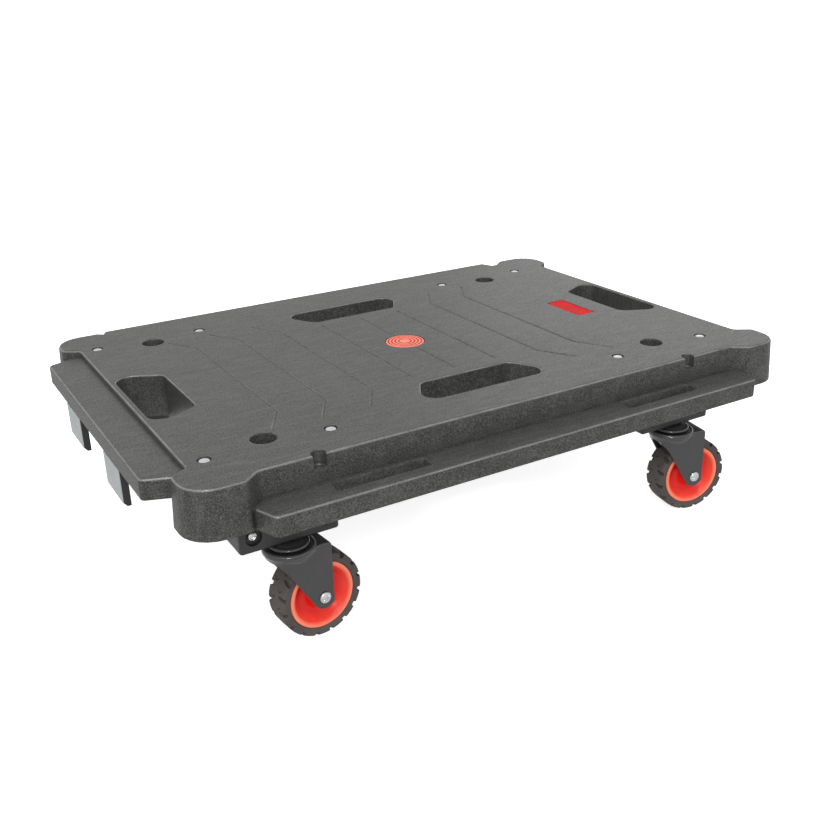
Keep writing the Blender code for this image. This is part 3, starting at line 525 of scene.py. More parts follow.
def wheel_look():
    """Coral plastic that deepens to red from the rim down into the dish, with a paler hub."""
    look = Look("coral_wheel", Subsurface_Weight=0.1, Subsurface_Scale=0.003, Specular_IOR_Level=0.35)
    offset = look.vector("SUBTRACT", look.place, (TRAIL, 0.0, WHEEL_RADIUS))
    flat = look.vector("MULTIPLY", offset.outputs["Vector"], (1.0, 0.0, 1.0))
    radius = look.vector("LENGTH", flat.outputs["Vector"]).outputs["Value"]
    cloud = look.cloud(55.0, 3.0)
    deep = look.mix(cloud, (0.86, 0.016, 0.008), (0.74, 0.010, 0.006))
    middle = look.mix(cloud, (0.96, 0.065, 0.034), (0.90, 0.045, 0.024))
    pale = look.mix(cloud, (1.0, 0.27, 0.16), (0.97, 0.21, 0.12))
    base = look.mix(look.remap(radius, 20.0 * MM, 24.5 * MM), deep, middle)
    base = look.mix(look.remap(radius, 26.5 * MM, 29.5 * MM), base, pale)
    base = look.mix(look.remap(radius, 10.5 * MM, 9.0 * MM), base, middle)
    base = look.mix(look.times(look.edges(0.9 * MM, 0.2), 0.4), base, (1.0, 0.5, 0.36))
    look.colour(base)
    look.gloss(700.0, 0.26, 0.40)
    look.grain(1100.0, 0.12, 0.06 * MM, 0.4 * MM)
    return look.material


def rubber_look():
    """Matt brown-black rubber with dusty lugs and a fine mould texture."""
    look = Look("tyre_rubber_dark")
    base = look.mix(look.cloud(40.0, 4.0), (0.058, 0.049, 0.045), (0.086, 0.072, 0.067))
    dust = look.times(look.edges(1.0 * MM, 0.3), look.remap(look.noise(200.0, 3.0), 0.35, 0.6))
    base = look.mix(look.times(dust, 0.45), base, (0.17, 0.15, 0.14))
    look.colour(base)
    look.gloss(350.0, 0.62, 0.82, 3.0)
    look.grain(900.0, 0.3, 0.12 * MM, 0.4 * MM)
    return look.material


# The deck


def body_outline():
    quarter = [
        (BUMPER_X, SHORT_BUMPER_END, 6.0),
        (BUMPER_X, BUMPER_Y, 27.0),
        (LONG_BUMPER_END, BUMPER_Y, 5.0),
        (LONG_WALL_END, WALL_Y, 6.0),
    ]
    wall = (WALL_X, SHORT_WALL_END, 6.0)
    first = [wall] + quarter
    corners = []
    for sign_x, sign_y in ((1, 1), (-1, 1), (-1, -1), (1, -1)):
        part = first if sign_x == sign_y else first[::-1]
        corners += [(x * sign_x, y * sign_y, r) for x, y, r in part]
    points = []
    shaped = rounded([c[:2] for c in corners], [c[2] * MM for c in corners], 6)
    points += shaped
    return points


def side_outline(wall, wall_end, outer_end):
    """A trapezoid on the side of the body with its root inside it, along +X."""
    root = wall - 8.0 * MM
    far = wall + OVERHANG
    near_side = [(root, -wall_end), (wall, -wall_end), (far, -outer_end)]
    corners = near_side + [(x, -y) for x, y in reversed(near_side)]
    return rounded(corners, [0.0, 0.0, 5.0 * MM, 5.0 * MM, 0.0, 0.0], 6)


def turn_outline(points, quarter):
    angle = math.radians(90.0 * quarter)
    cos = round(math.cos(angle))
    sin = round(math.sin(angle))
    return [(x * cos - y * sin, x * sin + y * cos) for x, y in points]


def edge_levels(bottom, top, draft, radius=EDGE_ROUND):
    """Levels of a wall that flares downward a little, with both edges rounded."""
    levels = [(bottom, draft - 1.0 * MM), (bottom + 0.3 * MM, draft - 0.3 * MM), (bottom + 1.0 * MM, draft)]
    for i in range(6):
        angle = math.radians(90.0 * i / 5)
        levels.append((top - radius + radius * math.sin(angle), -radius * (1.0 - math.cos(angle))))
    return levels


def side_bodies():
    short_end = SHORT_WALL_END - 9.5 * MM
    long_end = LONG_WALL_END + 2.0 * MM
    short = side_outline(WALL_X, SHORT_WALL_END + 4.0 * MM, short_end)
    long = side_outline(WALL_Y, LONG_BUMPER_END, long_end)
    flange = edge_levels(FLANGE_BOTTOM, FLANGE_TOP, 0.0, 2.6 * MM)
    ledge = edge_levels(DECK_BOTTOM + 0.4 * MM, LEDGE_TOP, 0.0, 2.6 * MM)
    made = []
    sides = ((short, 2, flange), (long, 1, flange), (short, 0, ledge), (long, 3, ledge))
    for outline, quarter, levels in sides:
        shape = bmesh.new()
        add_prism(shape, turn_outline(outline, quarter), levels)
        made.append(shape)
    return made


def handle_outline(handle, shift, quarter):
    outer, inner, outer_half, inner_half = handle
    corners = [(inner, -inner_half), (outer, -outer_half), (outer, outer_half), (inner, inner_half)]
    points = turn_outline(rounded(corners, [10.0 * MM, 14.0 * MM, 14.0 * MM, 10.0 * MM], 8), quarter)
    return [(x + shift, y) for x, y in points]


def handle_cutter():
    shape = bmesh.new()
    rim = 2.2 * MM
    levels = [(DECK_BOTTOM - 5.0 * MM, 0.0), (DECK_TOP - rim, 0.0)]
    for i in range(1, 6):
        angle = math.radians(90.0 * i / 5)
        levels.append((DECK_TOP - rim + rim * math.sin(angle), rim * (1.0 - math.cos(angle))))
    levels.append((DECK_TOP + 2.0 * MM, rim))
    for handle, shift, quarter in (
        (END_HANDLE, 0.0, 0),
        (END_HANDLE, 0.0, 2),
        (SIDE_HANDLE, SIDE_HANDLE_X, 1),
        (SIDE_HANDLE, SIDE_HANDLE_X, 3),
    ):
        add_prism(shape, handle_outline(handle, shift, quarter), levels)
    return shape


def strip(points, width):
    """The outline of a band of the given width along a polyline."""
    left = []
    right = []
    for i, point in enumerate(points):
        here = Vector(point)
        before = here - Vector(points[i - 1]) if i else Vector(points[1]) - here
        after = Vector(points[i + 1]) - here if i + 1 < len(points) else before
        first = Vector((-before.y, before.x)).normalized()
        second = Vector((-after.y, after.x)).normalized()
        side = (first + second) / (1.0 + first.dot(second)) * (width / 2)
        left.append(tuple(here + side))
        right.append(tuple(here - side))
    return right + left[::-1]


def groove_lines():
    bent_half = 106.0 * MM
    plain_half = 100.0 * MM
    bend_y = 143.0 * MM
    bend_x = 21.0 * MM
    lines = []
    for i in range(8):
        x = GROOVE_FIRST_X + GROOVE_PITCH * i
        if not 3 <= i <= 5:
            bend = x - bend_x if i < 3 else x + bend_x
            lines.append([(bend, -bend_y), (x, -bent_half), (x, bent_half), (bend, bend_y)])
        elif abs(x - DISC_AT[0]) < DISC_RADIUS:
            stop = DISC_RADIUS + 6.0 * MM
            lines.append([(x, -plain_half), (x, DISC_AT[1] - stop)])
            lines.append([(x, DISC_AT[1] + stop), (x, plain_half)])
        else:
            lines.append([(x, -plain_half), (x, plain_half)])
    return lines


def bolt_places():
    places = []
    for _, sign_x, sign_y, _ in CASTERS:
        x = caster_x(sign_x)
        places += [(x - BOLT_DX, sign_y * BOLT_Y), (x + BOLT_DX, sign_y * BOLT_Y)]
    return places


def top_cutter():
    shape = bmesh.new()
    levels = [
        (DECK_TOP - GROOVE_DEPTH, -0.9 * MM),
        (DECK_TOP - 0.55 * MM, -0.25 * MM),
        (DECK_TOP - 0.2 * MM, 0.05 * MM),
        (DECK_TOP, 0.6 * MM),
        (DECK_TOP + 2.0 * MM, 0.6 * MM),
    ]
    for line in groove_lines():
        add_prism(shape, strip(line, GROOVE_WIDTH), levels)
    bed = DECK_TOP - 1.5 * MM
    above = DECK_TOP + 2.0 * MM
    add_rod(shape, (*DISC_AT, bed), (*DISC_AT, above), DISC_RADIUS + 0.8 * MM, sides=64)
    outline = label_outline(0.5 * MM)
    add_prism(shape, outline, [(bed, 0.0), (above, 0.0)])
    for x, y in bolt_places():
        add_rod(shape, (x, y, DECK_TOP - 1.7 * MM), (x, y, above), 5.7 * MM, 6.6 * MM, sides=32)
    return shape


def label_outline(grow):
    half_x = LABEL_SIZE[0] / 2 + grow
    half_y = LABEL_SIZE[1] / 2 + grow
    x, y = LABEL_AT
    return four(x - half_x, y - half_y, x + half_x, y + half_y, 2.5 * MM, 5)


def span(sign, a, b):
    return sorted((sign * a, sign * b))


def caster_x(sign_x):
    return PATTERN_X + sign_x * CASTER_X


def pocket_cutter():
    shape = bmesh.new()
    roof = DECK_TOP - SKIN
    clear = 1.2 * MM
    for _, sign_x, sign_y, _ in CASTERS:
        x = caster_x(sign_x)
        half = BLOCK_HALF_X + clear
        y0, y1 = span(sign_y, BLOCK_BACK - clear, BLOCK_FRONT + clear)
        add_box(shape, (x - half, y0, DECK_BOTTOM - 5.0 * MM), (x + half, y1, roof))
    return shape


def ear_cutter():
    shape = bmesh.new()
    clear = 1.2 * MM
    for _, sign_x, sign_y, _ in CASTERS:
        x = caster_x(sign_x)
        half = EAR_HALF_X + clear
        y0, y1 = span(sign_y, EAR_Y[0] - clear, EAR_Y[1] + clear)
        add_box(shape, (x - half, y0, DECK_BOTTOM - 6.0 * MM), (x + half, y1, DECK_TOP - SKIN - 0.05 * MM))
    return shape


def well_collars():
    shape = bmesh.new()
    for _, sign_x, sign_y, _ in CASTERS:
        x = caster_x(sign_x)
        y = sign_y * WELL_Y
        low = (x, y, DECK_TOP - SKIN - COLLAR_LONG)
        add_rod(shape, low, (x, y, DECK_TOP - SKIN + 1.0 * MM), WELL_RADIUS + 1.8 * MM)
    return shape


def well_cutter():
    """Round openings with a small chamfer, through the skin and its collars."""
    shape = bmesh.new()
    for _, sign_x, sign_y, _ in CASTERS:
        x = caster_x(sign_x)
        edge = 1.3 * MM
        profile = [
            (0.0, DECK_TOP - SKIN - COLLAR_LONG - 3.0 * MM),
            (WELL_RADIUS - 1.4 * MM, DECK_TOP - SKIN - COLLAR_LONG - 3.0 * MM),
            (WELL_RADIUS, DECK_TOP - edge),
            (WELL_RADIUS + 0.3 * edge, DECK_TOP - 0.3 * edge),
            (WELL_RADIUS + edge, DECK_TOP),
            (WELL_RADIUS + edge, DECK_TOP + 3.0 * MM),
            (0.0, DECK_TOP + 3.0 * MM),
        ]
        lathe = bmesh.new()
        add_lathe(lathe, profile, 48)
        bmesh.ops.translate(lathe, verts=lathe.verts, vec=(x, sign_y * WELL_Y, 0.0))
        merge_into(shape, lathe)
    return shape


def merge_into(shape, other):
    mesh = bpy.data.meshes.new("merge")
    other.to_mesh(mesh)
    other.free()
    shape.from_mesh(mesh)
    bpy.data.meshes.remove(mesh)


def slot_cutter():
    """Slots with rounded ends through the two ledges."""
    shape = bmesh.new()
    half = 44.5 * MM
    near = 5.7 * MM
    far = 20.9 * MM
    levels = [
        (DECK_BOTTOM - 5.0 * MM, -1.9 * MM),
        (LEDGE_TOP - 9.0 * MM, -1.9 * MM),
        (LEDGE_TOP - 1.2 * MM, 0.0),
        (LEDGE_TOP - 0.3 * MM, 0.3 * MM),
        (LEDGE_TOP, 1.2 * MM),
        (LEDGE_TOP + 2.0 * MM, 1.2 * MM),
    ]
    for side in (-1, 1):
        x = LINK_MIDDLE_X + side * LINK_HALF_X
        add_prism(shape, four(x - half, -WALL_Y - far, x + half, -WALL_Y - near, 3.2 * MM, 4), levels)
        y = side * LINK_HALF_Y
        add_prism(shape, four(WALL_X + near, y - half, WALL_X + far, y + half, 3.2 * MM, 4), levels)
    for x, y in bolt_places():
        add_rod(shape, (x, y, DECK_TOP - SKIN - 3.0 * MM), (x, y, DECK_TOP - 1.0 * MM), 3.3 * MM, sides=16)
    return shape


def notch_cutter():
    shape = bmesh.new()
    y = -207.0 * MM
    radius = 6.2 * MM
    deep = 13.0 * MM
    for x in mm(-207.0, 204.0):
        outline = arc((x, y), radius, 0.0, 180.0, 14)
        outline += [(x - radius, -WALL_Y - 8.0 * MM), (x + radius, -WALL_Y - 8.0 * MM)]
        levels = [
            (DECK_TOP - deep, -1.2 * MM),
            (DECK_TOP - deep + 0.5 * MM, -0.6 * MM),
            (DECK_TOP - deep + 1.5 * MM, -0.3 * MM),
            (DECK_TOP - 1.2 * MM, 0.0),
            (DECK_TOP - 0.3 * MM, 0.35 * MM),
            (DECK_TOP, 1.2 * MM),
            (DECK_TOP + 2.0 * MM, 1.2 * MM),
        ]
        add_prism(shape, outline, levels)
    return shape


def cell_cutter():
    """Fields of cells with rounded corners between the ribs of the underside."""
    regions = (
        (-250.0, 250.0, 8, 4.0, 111.0, 2),
        (-161.0, -86.0, 2, 115.0, 204.5, 2),
        (78.0, 132.0, 1, 115.0, 204.5, 2),
        (-82.0, 74.0, 3, 165.5, 204.5, 1),
        (-302.0, -254.0, 1, 80.0, 111.0, 1),
        (-302.0, -284.5, 1, 113.0, 149.0, 1),
        (254.0, 302.0, 1, 80.0, 111.0, 1),
        (255.5, 302.0, 1, 113.0, 149.0, 1),
        (275.5, 302.0, 1, 153.0, 204.5, 1),
    )
    shape = bmesh.new()
    rib = 3.5 * MM
    roof = DECK_TOP - SKIN + 0.4 * MM
    levels = [(DECK_BOTTOM - 7.0 * MM, 0.35 * MM), (roof - 1.5 * MM, 0.0)]
    levels += [(roof - 0.4 * MM, -0.5 * MM), (roof, -1.5 * MM)]
    for x0, x1, columns, y0, y1, rows in regions:
        step_x = (x1 - x0) * MM / columns
        step_y = (y1 - y0) * MM / rows
        for i in range(columns):
            for j in range(rows):
                low_x = x0 * MM + step_x * i + rib / 2
                low_y = y0 * MM + step_y * j + rib / 2
                for sign in (-1, 1):
                    a, b = span(sign, low_y, low_y + step_y - rib)
                    high_x = low_x + step_x - rib
                    add_prism(shape, four(low_x, a, high_x, b, 3.0 * MM, 3), levels)
    return shape


def make_deck(look):
    shape = bmesh.new()
    add_prism(shape, body_outline(), edge_levels(DECK_BOTTOM, DECK_TOP, DRAFT))
    steps = [(side, "UNION") for side in side_bodies()]
    for cutter in (pocket_cutter(), ear_cutter(), cell_cutter()):
        steps.append((cutter, "DIFFERENCE"))
    steps.append((well_collars(), "UNION"))
    for cutter in (slot_cutter(), well_cutter(), notch_cutter()):
        steps.append((cutter, "DIFFERENCE"))
    steps.append((handle_cutter(), "DIFFERENCE"))
    steps.append((top_cutter(), "DIFFERENCE"))
    mesh = combine(shape, steps)
    return piece("deck_shell", mesh, look, "deck", ("deck",), angle=35.0, weigh=True)


def make_disc(look, ring_look):
    """A round inlay with sunk rings of a deeper red."""
    thick = 1.35 * MM
    profile = [(0.0, 0.0), (DISC_RADIUS, 0.0)]
    profile += [(DISC_RADIUS, thick - 0.5 * MM), (DISC_RADIUS - 0.5 * MM, thick)]
    low = thick - 0.45 * MM
    for outer, inner in ((18.4, 17.2), (14.8, 13.6), (11.2, 10.0), (7.4, 6.2)):
        outer *= MM
        inner *= MM
        profile += [(outer + 0.25 * MM, thick), (outer, low), (inner, low), (inner - 0.25 * MM, thick)]
    profile.append((0.0, thick))
    shape = bmesh.new()
    add_lathe(shape, profile, 96)
    for face in shape.faces:
        middle = face.calc_center_median()
        edge_on = math.hypot(middle.x, middle.y) < DISC_RADIUS - 1.0 * MM
        face.material_index = 1 if edge_on and 0.1 * MM < middle.z < thick - 0.05 * MM else 0
    where = Matrix.Translation((*DISC_AT, DECK_TOP - 1.4 * MM))
    mesh = to_mesh(shape, "disc_inlay")
    made = piece("disc_inlay", mesh, look, "deck", ("centre_disc",), where)
    made.data.materials.append(ring_look)


def make_label(look):
    """A blank red plate with a raised rim."""
    shape = bmesh.new()
    outline = label_outline(0.0)
    bottom = DECK_TOP - 1.4 * MM
    top = DECK_TOP
    rings = [(bottom, 0.0), (top - 0.5 * MM, 0.0), (top - 0.15 * MM, -0.15 * MM), (top, -0.5 * MM)]
    rings += [(top, -1.3 * MM), (top - 0.3 * MM, -1.6 * MM)]
    add_prism(shape, outline, rings)
    mesh = to_mesh(shape, "label_blank")
    piece("label_blank", mesh, look, "deck", ("label_plate",))


# Hooks


def add_slab(shape, profile, low, high):
    """A side profile (inward, height) swept along Y from low to high, with inward along +X."""
    rings = [[(x, y, z) for x, z in profile] for y in (low, high)]
    add_rings(shape, rings)


def hook_side():
    top = FLANGE_BOTTOM - 0.05 * MM
    thick = 7.1 * MM
    corners = [
        (0.6 * MM, HOOK_BOTTOM + 3.4 * MM),
        (3.4 * MM, HOOK_BOTTOM),
        (thick, HOOK_BOTTOM),
        (thick, top - 10.0 * MM),
        (thick + 6.6 * MM, top),
        (0.6 * MM, top),
    ]
    radii = [0.6 * MM, 0.6 * MM, 0.6 * MM, 6.0 * MM, 0.0, 0.0]
    return rounded(corners, radii, 4)


def make_hooks(black, grey):
    """Each hook is a black bracket with a pale grey plate over its outer face, a painted reflection of the
    floor in that face.
    """
    spots = []
    for side, word in ((-1, "front"), (1, "rear")):
        spots.append(("hook_left_" + word, (-WALL_X - OVERHANG, side * LINK_HALF_Y, 0.0), 0.0))
    for side, word in ((-1, "left"), (1, "right")):
        at = (LINK_MIDDLE_X + side * LINK_HALF_X, WALL_Y + OVERHANG, 0.0)
        spots.append(("hook_rear_" + word, at, -90.0))
    for name, at, angle in spots:
        where = Matrix.Translation(at) @ Matrix.Rotation(math.radians(angle), 4, "Z")
        body = bmesh.new()
        add_slab(body, hook_side(), -HOOK_HALF, HOOK_HALF)
        hollow = bmesh.new()
        below = HOOK_BOTTOM - 2.0 * MM
        above = HOOK_BOTTOM + 20.0 * MM
        side = [(3.2 * MM, below), (12.0 * MM, below), (12.0 * MM, above), (3.2 * MM, above)]
        wall = 3.0 * MM
        add_slab(hollow, side, -HOOK_HALF + wall, -wall / 2)
        add_slab(hollow, side, wall / 2, HOOK_HALF - wall)
        mesh = combine(body, [(hollow, "DIFFERENCE")])
        piece(name + "_bracket", mesh, black, "deck", (name,), where, 30.0, True)
        # Painted reflection: a pale grey plate over the outer face where the floor is reflected.
        plate = bmesh.new()
        top = FLANGE_BOTTOM - 0.4 * MM
        low = HOOK_BOTTOM + 3.2 * MM
        outline = four(-HOOK_HALF + 0.4 * MM, low, HOOK_HALF - 0.4 * MM, top, 1.0 * MM, 3)
        thin = 0.9 * MM
        add_prism(plate, outline, [(0.0, -0.35 * MM), mm(0.1, -0.1), (0.35 * MM, 0.0), (thin, 0.0)])
        turn = Matrix(((0, 0, 1, 0), (1, 0, 0, 0), (0, 1, 0, 0), (0, 0, 0, 1)))
        mesh = to_mesh(plate, "face", turn)
        piece(name + "_face", mesh, grey, "deck", (), where, 30.0, True)


# Blocks and fasteners


def make_block(word, sign_x, sign_y, look):
    x = caster_x(sign_x)
    roof = DECK_TOP - SKIN - 0.3 * MM
    y0, y1 = span(sign_y, BLOCK_BACK, BLOCK_FRONT)
    outline = four(x - BLOCK_HALF_X, y0, x + BLOCK_HALF_X, y1, 3.0 * MM, 5)
    body = bmesh.new()
    rim = 2.2 * MM
    levels = []
    for i in range(5):
        angle = math.radians(90.0 * i / 4)
        levels.append((BLOCK_BOTTOM + rim - rim * math.cos(angle), -rim * (1.0 - math.sin(angle))))
    levels.append((roof, 0.0))
    add_prism(body, outline, levels)
    ears = bmesh.new()
    e0, e1 = span(sign_y, *EAR_Y)
    outline = four(x - EAR_HALF_X, e0, x + EAR_HALF_X, e1, 5.0 * MM, 5)
    add_prism(ears, outline, [(roof - 13.0 * MM, -1.0 * MM), (roof - 12.0 * MM, 0.0), (roof - 0.3 * MM, 0.0)])
    holes = bmesh.new()
    well = sign_y * WELL_Y
    low = (x, well, roof - COLLAR_LONG - 2.0 * MM)
    add_rod(holes, low, (x, well, roof + 3.0 * MM), WELL_RADIUS + 2.3 * MM)
    deep = bmesh.new()
    add_rod(deep, (x, well, roof - 28.0 * MM), (x, well, roof - COLLAR_LONG), 7.6 * MM)
    face = sign_y * BLOCK_FRONT
    for side in (-1, 1):
        at = x + side * SCREW_DX
        inner = face - sign_y * 4.5 * MM
        add_rod(holes, (at, face + sign_y * 2.0 * MM, SCREW_Z), (at, inner, SCREW_Z), 7.9 * MM, 7.0 * MM)
        start = (at, inner + sign_y * 1.0 * MM, SCREW_Z)
        add_rod(deep, start, (at, face - sign_y * 22.0 * MM, SCREW_Z), 2.5 * MM, sides=20)
    pin_y = sign_y * CASTER_Y
    low = (x, pin_y, BLOCK_BOTTOM - 2.0 * MM)
    add_rod(deep, low, (x, pin_y, BLOCK_BOTTOM + 16.0 * MM), PIN_RADIUS + 0.2 * MM, sides=24)
    mesh = combine(body, [(ears, "UNION"), (holes, "DIFFERENCE"), (deep, "DIFFERENCE")])
    piece("block_body_" + word, mesh, look, "deck", ("block_" + word,), None, 32.0, True)


def fastener_mesh(name, radius, height, shank, length, socketed):
    """A low domed head, plain or with a hexagon socket, on a threaded shank."""
    profile = [(0.0, -length), (shank - 0.5 * MM, -length), (shank, -length + 0.6 * MM)]
    pitch = 0.8 * MM
    turns = int((length - 2.0 * MM) / pitch)
    for i in range(turns):
        base = -length + 0.8 * MM + i * pitch
        profile += [(shank, base), (shank - 0.45 * MM, base + pitch / 2)]
    profile += [(shank, -0.6 * MM), (shank, 0.0), (radius - 0.1 * MM, 0.0), (radius, 0.15 * height)]
    for i in range(1, 7):
        angle = math.radians(15.0 * i)
        reach = radius * math.cos(angle) if i < 6 else 0.0
        profile.append((reach, 0.15 * height + 0.85 * height * math.sin(angle)))
    head = bmesh.new()
    add_lathe(head, profile, 40)
    if not socketed:
        return to_mesh(head, name)
    socket = bmesh.new()
    add_rod(socket, (0, 0, 0.25 * height), (0, 0, height + 1.0 * MM), 0.56 * radius, 0.62 * radius, sides=6)
    return combine(head, [(socket, "DIFFERENCE")])


def make_fasteners(word, sign_x, sign_y, look):
    x = caster_x(sign_x)
    seat = DECK_TOP - 1.4 * MM
    for side, spot in ((sign_x, "outer"), (-sign_x, "inner")):
        where = Matrix.Translation((x + side * BOLT_DX, sign_y * BOLT_Y, seat))
        node = "deck_bolt_" + word + "_" + spot
        mesh = fastener_mesh(node, 4.8 * MM, 1.4 * MM, 2.4 * MM, 20.0 * MM, False)
        piece("bolt_" + word + "_" + spot, mesh, look, "deck", (node,), where)
        face = sign_y * (BLOCK_FRONT - 4.2 * MM)
        turn = Matrix.Rotation(math.radians(-90.0 * sign_y), 4, "X")
        where = Matrix.Translation((x + side * SCREW_DX, face, SCREW_Z)) @ turn
        node = "block_screw_" + word + "_" + spot
        mesh = fastener_mesh(node, 4.7 * MM, 3.2 * MM, 2.0 * MM, 15.0 * MM, True)
        piece("screw_" + word + "_" + spot, mesh, look, "deck", (node,), where)


# Casters


def caster_place(sign_x, sign_y, angle):
    at = Matrix.Translation((caster_x(sign_x), sign_y * CASTER_Y, 0.0))
    return at @ Matrix.Rotation(math.radians(angle), 4, "Z")


def race_mesh():
    """A pressed upper race with a full round rim."""
    top = BLOCK_BOTTOM - 0.2 * MM
    lip = 93.8 * MM
    outer = 18.2 * MM
    bore = PIN_RADIUS + 0.2 * MM
    profile = [(bore, top), (12.6 * MM, top), (13.2 * MM, top - 0.5 * MM)]
    for i in range(9):
        angle = math.radians(90.0 - 15.0 * i)
        reach = outer - 2.4 * MM + 2.4 * MM * math.cos(angle)
        profile.append((reach, top - 2.4 * MM + 1.7 * MM * math.sin(angle)))
    profile += [(outer - 2.2 * MM, lip), (outer - 3.2 * MM, lip + 0.8 * MM), (10.0 * MM, lip + 1.2 * MM)]
    profile += [(9.0 * MM, lip + 0.6 * MM), (bore, lip + 0.6 * MM), (bore, top)]
    shape = bmesh.new()
    add_lathe(shape, profile, 72)
    return to_mesh(shape, "race")


def balls_mesh():
    shape = bmesh.new()
    radius = 1.45 * MM
    for i in range(16):
        angle = 2 * math.pi * i / 16
        x, y = 12.2 * MM * math.cos(angle), 12.2 * MM * math.sin(angle)
        at = Matrix.Translation((x, y, FORK_TOP + 0.35 * MM + radius))
        bmesh.ops.create_uvsphere(shape, u_segments=12, v_segments=8, radius=radius, matrix=at)
    return to_mesh(shape, "balls")


def pin_mesh():
    top = BLOCK_BOTTOM + 14.0 * MM
    head = FORK_TOP - FORK_METAL - 0.3 * MM
    profile = [(0.0, top), (PIN_RADIUS - 0.4 * MM, top), (PIN_RADIUS, top - 0.4 * MM), (PIN_RADIUS, head)]
    profile += [(5.8 * MM, head), (6.0 * MM, head - 0.3 * MM), (5.6 * MM, head - 1.8 * MM)]
    profile += [(4.4 * MM, head - 3.0 * MM), (2.4 * MM, head - 3.5 * MM), (0.0, head - 3.6 * MM)]
    shape = bmesh.new()
    add_lathe(shape, profile, 40)
    return to_mesh(shape, "pin")


def soft_least(a, b, power=14):
    """The smaller of two lengths, with the change from one to the other rounded."""
    scale = min(a, b)
    return scale * ((a / scale) ** -power + (b / scale) ** -power) ** (-1.0 / power)


def soft_most(a, b, power=26):
    scale = max(a, b)
    return scale * ((a / scale) ** power + (b / scale) ** power) ** (1.0 / power)


def fork_ring(height, bulge, nose, shrink):
    """Plan of the fork at one height: flat sides, a round nose, and a round head that bulges over them."""
    side = FORK_OUTER - shrink
    swell = bulge - shrink
    front = nose - shrink
    back = FORK_BACK - shrink
    start = math.degrees(math.atan2(17.0, 16.4))
    points = []
    steps = 64
    for i in range(steps + 1):
        angle = math.radians(start + (360.0 - 2 * start) * i / steps)
        flat = side / max(abs(math.sin(angle)), 1e-6)
        reach = flat if math.cos(angle) > 0 else soft_least(flat, front)
        if swell > 0.0:
            reach = soft_most(reach, swell)
        points.append((reach * math.cos(angle), reach * math.sin(angle), height))
    points[0] = (points[0][0], side, height)
    points[-1] = (points[-1][0], -side, height)
    for x in (20.0 * MM, 25.0 * MM, back):
        points.append((x, -side, height))
    for x in (back, 25.0 * MM, 20.0 * MM):
        points.append((x, side, height))
    return points


def fork_shell():
    shape = bmesh.new()
    rings = []
    low = WHEEL_RADIUS - LEG_END - 4.0 * MM
    rings.append(fork_ring(low, 1.0 * MM, FORK_NOSE, 0.0))
    flare_low = 77.0
    flare_high = 89.6
    steps = 10
    for i in range(steps + 1):
        share = i / steps
        height = (flare_low + (flare_high - flare_low) * share) * MM
        grow = share * share
        bulge = (14.0 + 8.9 * (0.4 * share + 0.6 * grow)) * MM
        nose = FORK_NOSE + 2.4 * MM * grow
        rings.append(fork_ring(height, bulge, nose, 0.0))
    radius = 2.7 * MM
    for i in range(1, 7):
        angle = math.radians(15.0 * i)
        height = FORK_TOP - radius + radius * math.sin(angle)
        shrink = radius * (1.0 - math.cos(angle))
        rings.append(fork_ring(height, 22.9 * MM, 22.9 * MM, shrink))
    add_rings(shape, rings)
    return shape


def inner_plan():
    side = FORK_OUTER - FORK_METAL
    nose = FORK_NOSE - FORK_METAL
    meet = math.degrees(math.asin(side / nose))
    back = FORK_BACK + 5.0 * MM
    return arc((0.0, 0.0), nose, 180.0 - meet, 180.0 + meet, 20) + [(back, -side), (back, side)]


def leg_profile():
    """Side view of a leg: down from the nose, round the axle and up the back."""
    corners = [
        (-FORK_NOSE - 4.0 * MM, 86.8 * MM),
        mm(-18.6, 84.0),
        mm(-11.0, 74.5),
    ]
    route = [mm(-40.0, 99.0)] + corners + [mm(12.0, 35.0)]
    start = rounded(route, [0.0, 0.0, 6.0 * MM, 8.0 * MM, 0.0], 5)[1:-1]
    end = arc((TRAIL, WHEEL_RADIUS), LEG_END, 212.0, 335.0, 18)
    back = [(FORK_BACK - 0.4 * MM, WHEEL_RADIUS + 2.0 * MM), (FORK_BACK, WHEEL_RADIUS + 8.0 * MM)]
    top = FORK_TOP + 4.0 * MM
    back += [(FORK_BACK, 89.5 * MM), (FORK_BACK - 0.8 * MM, 91.5 * MM), (FORK_BACK - 2.5 * MM, top)]
    return start + end + back + [(-FORK_NOSE - 6.0 * MM, top)]


def fork_mesh():
    inside = bmesh.new()
    low = WHEEL_RADIUS - LEG_END - 9.0 * MM
    roof = FORK_TOP - FORK_METAL
    levels = [(low, 0.0), (roof - 2.0 * MM, 0.0), (roof - 0.6 * MM, -0.6 * MM), (roof, -2.0 * MM)]
    add_prism(inside, inner_plan(), levels)
    side = bmesh.new()
    add_slab(side, leg_profile(), -30.0 * MM, 30.0 * MM)
    bead = bmesh.new()
    ring = [(20.6 * MM + x, 91.2 * MM + z) for x, z in arc((0.0, 0.0), 2.9 * MM, 0.0, 360.0, 20)]
    ring[-1] = ring[0]
    add_lathe(bead, ring, 96)
    dish = bmesh.new()
    add_rod(dish, (0, 0, FORK_TOP - 0.2 * MM), (0, 0, FORK_TOP + 5.0 * MM), 18.6 * MM, sides=96)
    bores = bmesh.new()
    add_rod(bores, (0, 0, FORK_TOP - 8.0 * MM), (0, 0, FORK_TOP + 8.0 * MM), PIN_RADIUS + 0.3 * MM, sides=32)
    reach = FORK_OUTER + 5.0 * MM
    axle = [(TRAIL, y, WHEEL_RADIUS) for y in (-reach, reach)]
    add_rod(bores, *axle, AXLE_RADIUS + 0.3 * MM, sides=32)
    steps = [(inside, "DIFFERENCE"), (side, "INTERSECT"), (bead, "UNION")]
    steps += [(dish, "DIFFERENCE"), (bores, "DIFFERENCE")]
    return combine(fork_shell(), steps)


AXLE_TURN = Matrix.Translation((TRAIL, 0.0, WHEEL_RADIUS)) @ Matrix.Rotation(math.radians(90.0), 4, "X")


